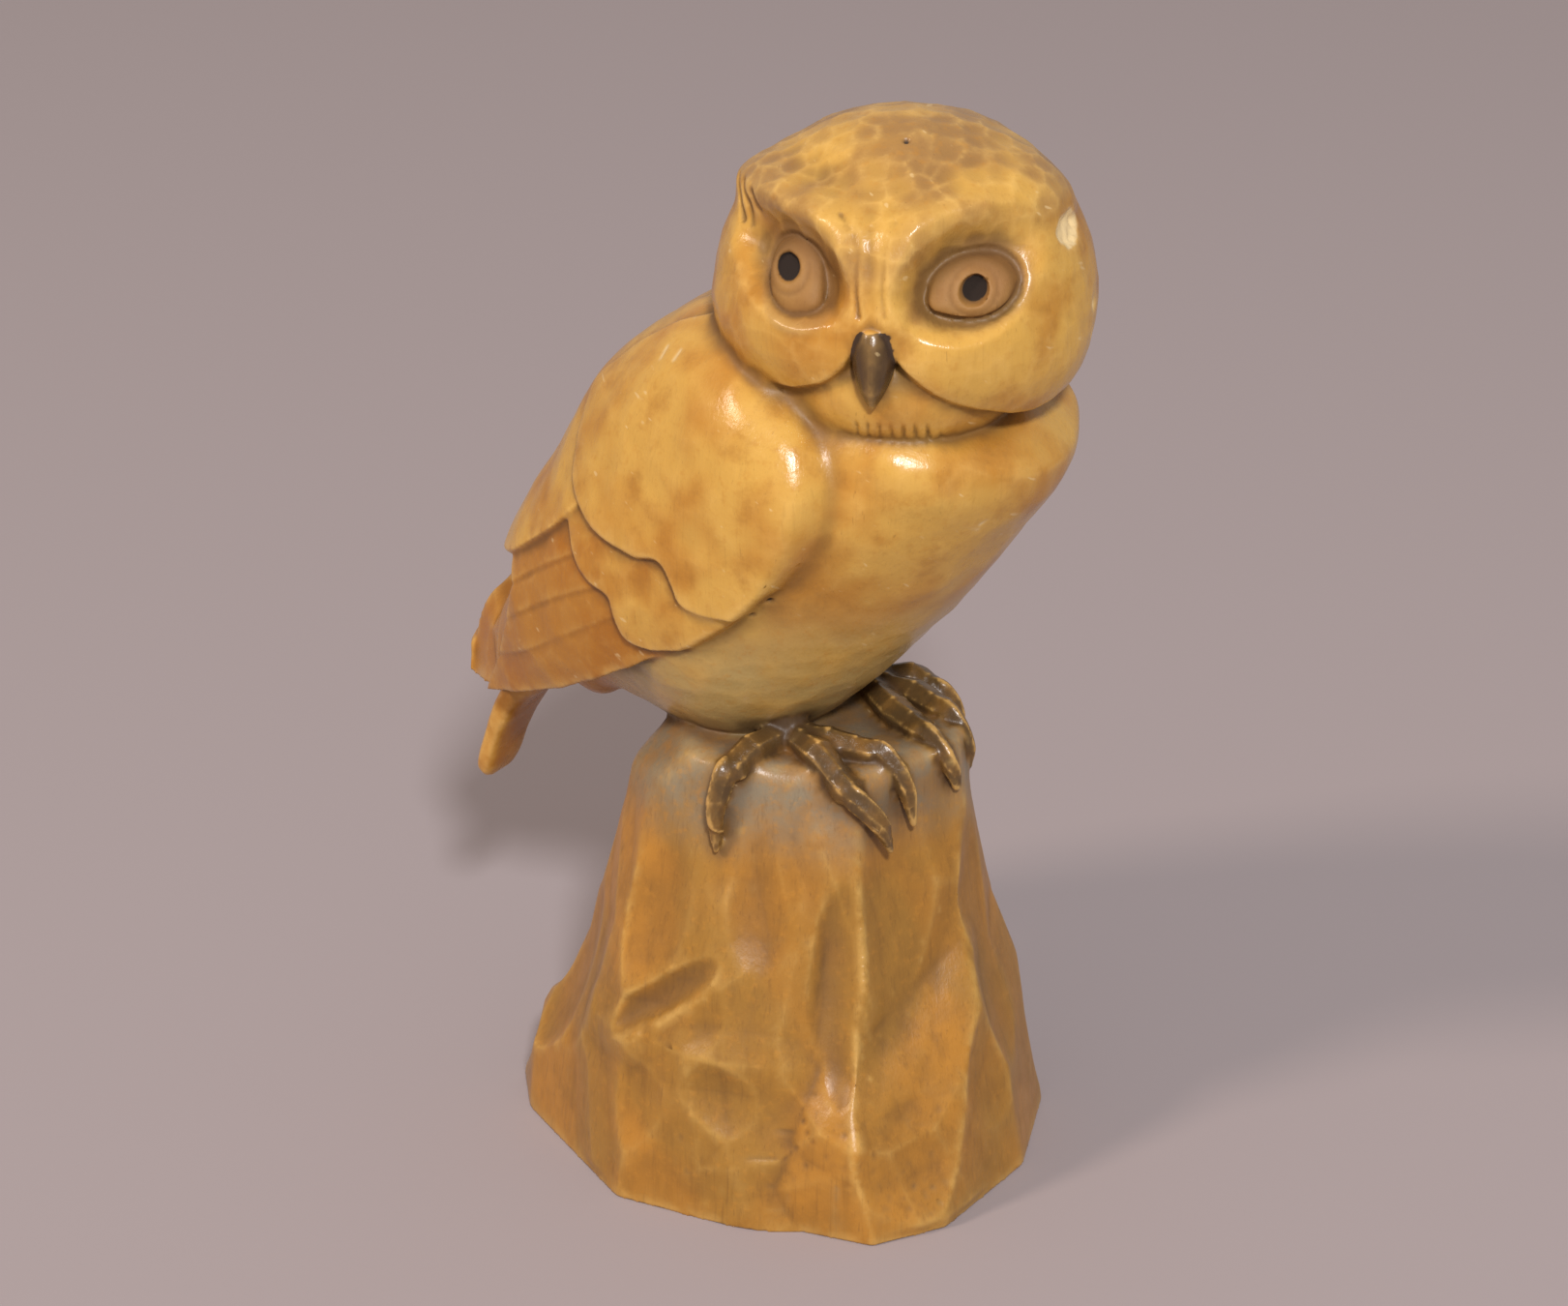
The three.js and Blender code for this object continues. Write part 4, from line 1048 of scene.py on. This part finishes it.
# Marks of the tools and of use, as lines of places with how wide and how deep each is
marks = {
    # on the head: to the side, to the front, up
    "browTuft": [
        [(-41.8, 9, 30), (-40.3, 13.5, 25.5), (-38.6, 17, 21.5)],
        [(-39.8, 14, 30.5), (-37.5, 18.5, 26), (-36.4, 20.5, 21.5)],
        [(-36.8, 19.5, 29.5), (-34.2, 22.5, 25.5), (-33.4, 24, 22.5)],
    ],
    "tuftWide": 1.1, "tuftDeep": 1.0,
    "forehead": [
        [(-10.6, 37.5, 31), (-8, 40, 28)],
        [(-6.4, 41, 26.6), (-5.2, 43, 23), (-5.4, 46.4, 14), (-4.4, 47.6, 8.6)],
        [(3, 39, 29.5), (1.4, 43.4, 23.3), (1.2, 46.5, 15), (2, 47.6, 9)],
    ],
    "foreheadWide": 0.8, "foreheadDeep": (0.5, 1.0, 0.45),
    # a piece broken off the right brow: its middle, half its size each way and its depth, and by size and
    # amount how ragged its edge and how rough its face are
    "chip": {
        "middle": (42, 10.5, 22), "halves": (3.8, 8.5, 4.6), "deepest": 1.5, "slope": (0.5, 1.05),
        "ragged": (2.6, 0.16), "rough": (1.8, 0.3), "bareFrom": (0.86, 1),
    },
    "nicks": [(48.6, 5.2, 0.4), (48.5, 2.5, -8)],
    "nickWide": 1.5, "nickDeep": 0.9,
    "wormHolesHead": [(2.1, 16.4, 43.9), (37.6, -19.3, -35.5)],
    # on the body: along, to its right side, up
    "wormHolesBody": [(10, 48.5, 179.5), (4.8, 48.8, 175)],
    "wormWide": 0.75, "wormDeep": 1.6,
    "scratches": [
        [(51, 32, 205.5), (52, 30.7, 204), (55.7, 23.5, 199.8)],
        [(55, 27, 207), (57.8, 22.6, 205.4), (60.1, 13.3, 209.1)],
        [(57, 24, 201), (58.5, 19.5, 205.5)],
        [(-28.9, 36.8, 233.8), (-28.5, 34, 236.1)],
        [(-23.6, 38.9, 235), (-23, 36.9, 237)],
    ],
    "scratchWide": 0.6, "scratchDeep": 0.15, "scratchBare": 0.7,
}
relief = {
    # unevenness of hand work: size and height, and how much less of it the feet and the rock have
    "wobble": ((17, 0.5), (6.5, 0.2)), "footLess": 0.7, "rockLess": 0.6,
    "cup": 0.8,  # how far from its seed a cup is hollow, in cube sizes
    "ridge": (0.02, 0.12),
    "standing": (0.6, 4),  # the face that it stands on stays flat
}
# Gouge facets: size, depth, the chance pattern's own number, how it is stretched, how rubbed its ridges are
facets = {
    "crown": (6.2, 0.5, 21, (1, 1, 1), 1),
    "face": (5, 0.2, 22, (1, 1, 1), 0.4),
    "belly": (9, 0.28, 23, (0.8, 0.8, 1.6), 0.25),
    "body": (10, 0.28, 24, (1, 1, 1), 0.1),
}
# Where each area of the surface begins and ends: heights, places along the body or on the head
areas = {
    "rounds": 6, "footRounds": 3,  # of smoothing at an area's edge
    "footTop": 135,
    "crown": (26, 38), "crownLean": 0.35,
    "bellyTop": (150, 185),
    "hind": (-66, -50),
    "beak": (1.02, 1.14),
    "wash": (96, 118), "bellyWash": (122, 145), "bellyWashShare": 0.35,
}


def gouged(points, share, size, depth, seed, stretch):
    # shallow cups meeting in low ridges: depth times the square of the way to the nearest seed. Only
    # where share is over 0; also how near each point is to a ridge
    height, ridge = np.zeros(len(points)), np.zeros(len(points))
    used = share > 0.01
    first, second = cells(points[used] * stretch, size, seed)
    height[used] = share[used] * depth * ((np.minimum(first, relief["cup"]) / relief["cup"]) ** 2 - 0.5)
    ridge[used] = share[used] * (1 - eased(second - first, *relief["ridge"]))
    return height, ridge


def bibStrokes(place):
    # how deep the strokes are: across them cos^6 of the way round, fading out above and below
    side, up = place[:, 0], place[:, 2]
    low, high = bib["strokeSides"]
    size, share = bib["strokeUneven"]
    uneven = 1 + share * noise(place, size, seeds["strokes"])
    fade = bib["strokeFade"]
    within = eased(side, low, low + fade) * (1 - eased(side, high - fade, high))
    within = within * (place[:, 1] > bib["strokeFrom"])
    within = within * eased(up, *bib["strokeFoot"]) * (1 - eased(up, *bib["strokeHead"]))
    across = np.cos(np.pi * bib["strokes"] * (side - low) / (high - low)) ** 6
    return bib["strokeDeep"] * within * uneven * across


def bell(place, line, wide):
    return np.exp(-((offLine(place, line) / wide) ** 2))


def markDepth(points):
    # how deep each point is cut, as bell curves across the lines; where bare pale wood shows; and the worm
    # holes, whose dark is painted shade
    onHeadNow, onBodyNow = fromHead(points), fromBody(points)
    depth, bare, holeShade = np.zeros((3, len(points)))
    for line in marks["browTuft"]:
        depth += marks["tuftDeep"] * bell(onHeadNow, line, marks["tuftWide"])
    for line, deep in zip(marks["forehead"], marks["foreheadDeep"]):
        depth += deep * bell(onHeadNow, line, marks["foreheadWide"])
    depth += bibStrokes(onHeadNow)
    chip = marks["chip"]
    ring = np.linalg.norm((onHeadNow - np.array(chip["middle"])) / np.array(chip["halves"]), axis=-1)
    (raggedSize, ragged), (roughSize, rough) = chip["ragged"], chip["rough"]
    ring = ring + ragged * noise(points, raggedSize, seeds["chipEdge"])
    broken = 1 - eased(ring, *chip["slope"])
    depth += chip["deepest"] * broken * (1 + rough * noise(points, roughSize, seeds["chipFace"]))
    bare = np.maximum(bare, 1 - eased(ring, *chip["bareFrom"]))
    for place in marks["nicks"]:
        nick = bell(onHeadNow, [place, np.add(place, 0.5)], marks["nickWide"])
        depth += marks["nickDeep"] * nick
        bare = np.maximum(bare, nick)
    for seen, places in ((onHeadNow, marks["wormHolesHead"]), (onBodyNow, marks["wormHolesBody"])):
        for place in places:
            hole = bell(seen, [place, np.add(place, 0.01)], marks["wormWide"])
            depth += marks["wormDeep"] * hole
            holeShade = np.maximum(holeShade, hole)
    for line in marks["scratches"]:
        scratch = bell(onBodyNow, line, marks["scratchWide"])
        depth += marks["scratchDeep"] * scratch
        bare = np.maximum(bare, marks["scratchBare"] * scratch)
    return depth, bare, holeShade


points = net.points


def areaOf(kinds, rounds=areas["rounds"], within=1):
    return net.smoothed(nearKind(points, kinds) * within, rounds)


def offRockLine(line):
    return offLine(unrolled, np.array(line, float) * (rock["azimuthStep"], 1))


isRock = areaOf(["rock"])
isFeet = areaOf(["feet"], areas["footRounds"], points[:, 2] < areas["footTop"])
isHead = areaOf(["skull"])
isQuill = areaOf(["quills"])
isTail = areaOf(["tail"])
isWing = areaOf(["coverts", "mantle"])
stage("kinds found")

onFace = fromHead(points)
ahead = eased(fromBody(points)[:, 0], *areas["hind"])
crown = isHead * eased(onFace[:, 2] + areas["crownLean"] * onFace[:, 1], *areas["crown"])
unwinged = (1 - isRock) * (1 - isWing) * (1 - isHead)
belly = unwinged * (1 - isQuill) * (1 - eased(points[:, 2], *areas["bellyTop"])) * ahead
hindPart = unwinged * (1 - ahead)
normal = net.normals()
height = 0
for k, (size, deep) in enumerate(relief["wobble"]):
    height = height + deep * noise(points, size, seeds["wobble"] + k)
height = height * (1 - relief["footLess"] * isFeet) * (1 - relief["rockLess"] * isRock)
facetAreas = {
    "crown": crown,
    "face": isHead * (1 - crown),
    "belly": belly,
    "body": (1 - isHead) * (1 - belly) * (1 - isRock) * (1 - isFeet),
}
cups, facetEdge = 0, 0
for name, share in facetAreas.items():
    *facet, rubbed = facets[name]
    rise, ridge = gouged(points, share, *facet)
    cups = cups + rise
    facetEdge = facetEdge + rubbed * ridge
height = height + cups
# faces of the rock fall away evenly on both sides of each ridge
turned = np.degrees(np.arctan2(points[:, 1], points[:, 0])) * rock["azimuthStep"]
unrolled = np.column_stack([turned, points[:, 2]])
for line in rock["ridges"]:
    fall = np.maximum(0, 1 - offRockLine(line) / rock["ridgeReach"])
    height += isRock * (1 - isFeet) * rock["ridgeHigh"] * fall
for line in rock["valleys"]:
    height -= isRock * rock["valleyDeep"] * np.exp(-((offRockLine(line) / rock["valleyWide"]) ** 2))
cut, bareWood, holeShade = markDepth(points)
standing = eased(points[:, 2], *relief["standing"])
net.points = points + normal * ((height - cut) * standing)[:, None]
stage("tool marks cut")


# What the colour follows: how proud each point stands of the surface around it, near and far

def around(points, cube, rounds):
    # mean place of the surface's points about each point: sums in cubes, blurred 1-2-1 along each
    # axis, and read between the cubes' middles
    low = points.min(0) - (rounds + 2) * cube
    shape = np.ceil((points.max(0) - low) / cube).astype(int) + rounds + 3
    place = (points - low) / cube
    flat = np.ravel_multi_index(np.floor(place).astype(int).T, shape)
    weights = np.column_stack([np.ones(len(points)), points])
    sums = [np.bincount(flat, weights[:, k], shape.prod()) for k in range(4)]
    total = np.stack(sums, -1).reshape(*shape, 4)
    for _ in range(rounds):
        for axis in range(3):
            total = total / 2 + (np.roll(total, 1, axis) + np.roll(total, -1, axis)) / 4
    cell = np.floor(place - 0.5).astype(int)
    t = place - 0.5 - cell
    read = 0
    for corner in np.ndindex(2, 2, 2):
        near = np.prod(np.where(np.array(corner), t, 1 - t), axis=-1)
        read = read + near[:, None] * total[tuple((cell + corner).T)]
    return read[:, 1:] / np.maximum(read[:, :1], 1e-9)


normal = net.normals()
means = {
    "middle": around(net.points, *surface["middle"]),
    "broad": around(net.points, *surface["broad"]),
    "fine": net.smoothed(net.points, surface["fine"]),
}
proud = {name: ((net.points - mean) * normal).sum(-1) for name, mean in means.items()}
stage("hollows found")
# by how much a hollow or a proud place counts, and from how many mm it counts in full; the hollows are
# painted darker, as shade and grime, the deep and broad ones the most
tinted = {
    "grimeAndShade": {"middle": (0.7, -0.5), "broad": (0.65, -1.8), "fine": (0.4, -0.12)},
    "rub": {"middle": (0.6, 0.5), "fine": (0.5, 0.1)},
    "edge": {"fine": (1, 0.16)},
}
tints = {
    name: sum(share * np.clip(proud[reach] / full, 0, 1) for reach, (share, full) in parts.items())
    for name, parts in tinted.items()
}
onFace = fromHead(net.points)
side, up = onFace[:, 0], onFace[:, 2]
front = onFace[:, 1] > eye["from"]
pupil, lid, eyeball = np.zeros((3, len(points)))
for hand in (1, -1):
    off, ring = pupilOff(side, up, hand), eyeRound(side, up, hand)
    pupil = np.maximum(pupil, front * (1 - eased(off - eye["pupilRadius"], *eye["pupilTint"])))
    lid = np.maximum(lid, front * (1 - eased(ring, *eye["lidTint"])))
    eyeball = np.maximum(eyeball, front * (1 - eased(ring, *eye["ballTint"])))
    # the groove round the iris darker as painted shade and grime, and the rim of the eye darker as painted
    # shadow of the upper lid
    iris = eye["irisShadeAndGrime"] * np.exp(-(((off - eye["irisRadius"]) / eye["irisWide"]) ** 2))
    upper = eased((up - eye["up"]) / eye["halfHigh"][hand], *eye["underLid"])
    rim = (1 - eased(ring, *eye["rimOut"])) * eased(ring, *eye["rimIn"])
    least, more = eye["rimShade"]
    rim = rim * (least + more * upper)
    tints["grimeAndShade"] = np.maximum(tints["grimeAndShade"], front * np.maximum(iris, rim))
z = net.points[:, 2]
wash = isRock * eased(z, *areas["wash"]) * (1 - isFeet)
wash = wash + areas["bellyWashShare"] * belly * (1 - eased(z, *areas["bellyWash"]))
tints.update({
    "facet": facetEdge * (1 - isRock),
    "eyeball": eyeball,
    "rock": isRock * (1 - isFeet),
    "feet": isFeet,
    "beak": 1 - eased(offBeak(onFace), *areas["beak"]),
    "quill": isQuill + isTail + hindPart,
    "crown": crown,
    "belly": belly,
    "wash": wash,
    # the drilled pupils dark, and painted shade in the worm holes
    "pupil": np.maximum(pupil, holeShade),
    "lid": lid,
    "bare": bareWood,
})
tints["edge"] = tints["edge"] ** surface["edgeSharp"]
stage("tints found")

owl = bpy.data.objects.new("owlCarving", meshOf("owlCarving", net.points, net.faces))
bpy.context.scene.collection.objects.link(owl)
for name, values in tints.items():
    tint = owl.data.attributes.new(name, "FLOAT", "POINT")
    tint.data.foreach_set("value", np.clip(values, 0, 1).astype(np.float32))
stage("mesh made")
applied(owl, "DECIMATE", ratio=surface["mostTriangles"] / (2 * len(net.faces)))
stage(f"{len(owl.data.polygons)} faces, {len(owl.data.vertices)} points")

# The finished piece in place of the plain solid
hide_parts("carved_owl")
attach(owl, "root")


# Waxed wood

wood = bpy.data.materials.new("waxedWood")
wood.use_nodes = True
shader = wood.node_tree.nodes["Principled BSDF"]
tone = {
    "honey": (0.63, 0.36, 0.072, 1),
    "amber": (0.50, 0.225, 0.032, 1),
    "orange": (0.38, 0.13, 0.006, 1),
    "crown": (0.36, 0.195, 0.062, 1),
    "olive": (0.50, 0.35, 0.12, 1),  # the belly
    "moss": (0.31, 0.165, 0.03, 1),  # on the rock
    "umber": (0.37, 0.165, 0.024, 1),  # the rock
    "darkUmber": (0.21, 0.095, 0.018, 1),
    "grey": (0.235, 0.195, 0.13, 1),  # a thin wash of grey that has worn off the proud places
    "rubbed": (0.82, 0.52, 0.15, 1),
    # dark brown for grime and painted shade in the hollows, and for the dark of grain and pores
    "dirtAndShade": (0.10, 0.048, 0.016, 1),
    "foot": (0.06, 0.03, 0.012, 1),
    "gold": (0.68, 0.40, 0.12, 1),
    "horn": (0.045, 0.024, 0.012, 1),
    "bare": (0.84, 0.64, 0.33, 1),
    # near black: the pupils, and painted shade in the worm holes
    "pupil": (0.022, 0.014, 0.01, 1),
    # round the eyes: the lids' own darker tone, with painted shade in the sockets
    "lid": (0.27, 0.15, 0.065, 1),
    "eyeball": (0.28, 0.11, 0.006, 1),
}


def node(kind, inputs, **settings):
    made = wood.node_tree.nodes.new("ShaderNode" + kind)
    for key, value in settings.items():
        setattr(made, key, value)
    for key, value in inputs.items():
        if isinstance(value, bpy.types.NodeSocket):
            wood.node_tree.links.new(value, made.inputs[key])
        else:
            made.inputs[key].default_value = value
    return made


def tintOf(name):
    return node("Attribute", {}, attribute_name=name).outputs["Fac"]


def times(a, b):
    return node("Math", {0: a, 1: b}, operation="MULTIPLY").outputs[0]


def plus(a, b):
    return node("Math", {0: a, 1: b}, operation="ADD").outputs[0]


def span(value, low, high, most=1):
    # 0 below low, most above high, by 3t^2 - 2t^3 between
    inputs = {"Value": value, "From Min": low, "From Max": high, "To Max": most}
    return node("MapRange", inputs, interpolation_type="SMOOTHSTEP").outputs["Result"]


def stirred(size, detail=3, rough=0.55, stretch=(1, 1, 1), turn=(0, 0, 0)):
    # cloudy chance from 0 to 1, its blots about size in mm, drawn out along an axis by a small stretch
    place = node("Mapping", {"Vector": objectPlace, "Rotation": turn}, vector_type="POINT").outputs[0]
    place = node("Mapping", {"Vector": place, "Scale": stretch}).outputs[0]
    inputs = {"Vector": place, "Scale": 1000 / size, "Detail": detail, "Roughness": rough}
    return node("TexNoise", inputs).outputs["Fac"]


def layered(under, layers):
    # one tone after another over what is there, each with its share
    for over, share in layers:
        over = tone[over] if isinstance(over, str) else over
        under = node("Mix", {0: share, 6: under, 7: over}, data_type="RGBA").outputs[2]
    return under


def added(start, parts):
    for value, share in parts:
        start = plus(start, times(value, share))
    return start


objectPlace = node("TexCoord", {}).outputs["Object"]
cloud, mottle, fineMottle = stirred(26, 2), stirred(8, 4), stirred(2.4, 4, 0.6)
wideCloud = stirred(34, 2, 0.5, (1, 1, 0.6), (0.3, 0.4, 1.1))
blots = stirred(13, 5, 0.7)
grain = stirred(1.0, 3, 0.6, (1, 1, 0.04))
streak = stirred(4.5, 3, 0.6, (1, 1, 0.12))
pores = stirred(0.6, 2, 0.5, (1, 1, 0.1))
hairs = stirred(1.5, 1, 0.4, (1, 0.03, 0.4), (0.5, 0.9, 0.3))
on = {name: tintOf(name) for name in tints}
hairs = times(times(span(hairs, 0.71, 0.78), span(mottle, 0.48, 0.58)), plus(1, times(on["rock"], -1)))
rockTone = layered(tone["umber"], [
    ("amber", span(cloud, 0.5, 0.64, 0.6)),
    ("moss", span(wideCloud, 0.44, 0.6, 0.6)),
    ("darkUmber", span(mottle, 0.35, 0.8, 0.35)),
    ("darkUmber", span(streak, 0.5, 0.72, 0.35)),
])
footTone = layered(tone["foot"], [
    ("umber", span(mottle, 0.42, 0.68, 0.3)),
    ("gold", times(times(on["edge"], times(on["edge"], on["edge"])), 0.7)),
])
colour = layered(tone["honey"], [
    ("amber", span(cloud, 0.4, 0.66)),
    ("umber", span(blots, 0.5, 0.7, 0.5)),
    ("crown", times(on["crown"], span(cloud, 0.3, 0.6))),
    ("orange", times(on["quill"], 0.75)),
    ("olive", times(on["belly"], span(cloud, 0.25, 0.6))),
    (rockTone, times(on["rock"], 0.95)),
    ("grey", times(on["wash"], plus(0.5, span(mottle, 0.35, 0.6, 0.45)))),
    ("amber", span(fineMottle, 0.5, 0.75, 0.4)),
    ("rubbed", times(times(on["rub"], span(mottle, 0.3, 0.62)), plus(0.5, times(on["rock"], -0.12)))),
    ("rubbed", times(on["facet"], span(mottle, 0.4, 0.62, 0.22))),
    ("eyeball", times(on["eyeball"], plus(0.45, times(mottle, 0.6)))),
    # the eyes and lids darker: their own tone, with painted shade in the sockets
    ("lid", times(on["lid"], 0.4)),
    # painted shade and grime in the hollows and round the eyes
    ("dirtAndShade", times(on["grimeAndShade"], 0.7)),
    (footTone, times(on["feet"], 0.92)),
    (layered(tone["horn"], [("gold", times(on["edge"], 0.6))]), span(on["beak"], 0.3, 0.7)),
    ("bare", on["bare"]),
    ("bare", times(hairs, 0.4)),
    ("dirtAndShade", times(span(grain, 0.52, 0.8), plus(times(on["rock"], 0.16), 0.12))),
    ("dirtAndShade", span(pores, 0.68, 0.76, 0.25)),
    # the pupils, and painted shade in the worm holes
    ("pupil", span(on["pupil"], 0.25, 0.75)),
])
wax = {
    "specular": 0.42,
    "rough": 0.13,
    # how much rougher it is where each of these is 1
    "rougher": [
        (on["grimeAndShade"], 0.25), (mottle, 0.24), (on["rock"], 0.1), (on["pupil"], 0.35), (on["eyeball"], 0.35),
    ],
    "dents": [(grain, 0.4), (fineMottle, 0.7), (pores, 0.3)],
    "dentShare": 0.3, "dentDeep": 0.0005,
}
dents = {"Height": added(0, wax["dents"]), "Strength": wax["dentShare"], "Distance": wax["dentDeep"]}
waxed = {
    "Base Color": colour,
    "Roughness": added(wax["rough"], wax["rougher"]),
    "Normal": node("Bump", dents).outputs["Normal"],
}
for name, value in waxed.items():
    wood.node_tree.links.new(value, shader.inputs[name])
shader.inputs["Specular IOR Level"].default_value = wax["specular"]
owl.data.materials.append(wood)

# Floor, light and camera
floorMesh = bpy.data.meshes.new("floor")
floorMesh.from_pydata([(-8, -8, 0), (8, -8, 0), (8, 8, 0), (-8, 8, 0)], [], [(0, 1, 2, 3)])
floor = bpy.data.objects.new("floor", floorMesh)
bpy.context.scene.collection.objects.link(floor)
pale = bpy.data.materials.new("paleFloor")
pale.use_nodes = True
pale.node_tree.nodes["Principled BSDF"].inputs["Base Color"].default_value = (0.375, 0.325, 0.335, 1)
pale.node_tree.nodes["Principled BSDF"].inputs["Roughness"].default_value = 0.95
floorMesh.materials.append(pale)


lights = {
    "frontLight": {"place": (0.48, -3.12, 2.8), "size": 0.5, "power": 127, "colour": (1, 0.98, 0.99)},
    "leftLight": {"place": (-4.2, -2.1, 4.0), "size": 1.1, "power": 138, "colour": (1, 0.8, 0.66)},
}
lightsAim = (0, 0.1, 0.1)
for name, look in lights.items():
    lamp = bpy.data.lights.new(name, "AREA")
    lamp.shape = "DISK"
    lamp.size = look["size"]
    lamp.energy = look["power"]
    lamp.color = look["colour"]
    holder = bpy.data.objects.new(name, lamp)
    holder.location = look["place"]
    holder.rotation_euler = (Vector(lightsAim) - Vector(look["place"])).to_track_quat("-Z", "Y").to_euler()
    bpy.context.scene.collection.objects.link(holder)
world = bpy.data.worlds.new("studio")
world.use_nodes = True
world.node_tree.nodes["Background"].inputs["Color"].default_value = (1, 0.93, 0.89, 1)
world.node_tree.nodes["Background"].inputs["Strength"].default_value = 0.4
bpy.context.scene.world = world

# The view of the photograph: its width and its lens in pixels, and the tilt of the view in degrees
photo = {"wide": 1621, "lens": 3840, "place": (0, -0.9063, 0.5658), "tilt": 65}
view = bpy.data.cameras.new("photoView")
view.sensor_width = 36
view.lens = photo["lens"] / photo["wide"] * view.sensor_width
camera = bpy.data.objects.new("photoView", view)
camera.location = photo["place"]
camera.rotation_euler = (math.radians(photo["tilt"]), 0, 0)
bpy.context.scene.collection.objects.link(camera)
bpy.context.scene.camera = camera
bpy.context.scene.view_settings.view_transform = "Standard"

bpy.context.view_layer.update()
stage("scene made")
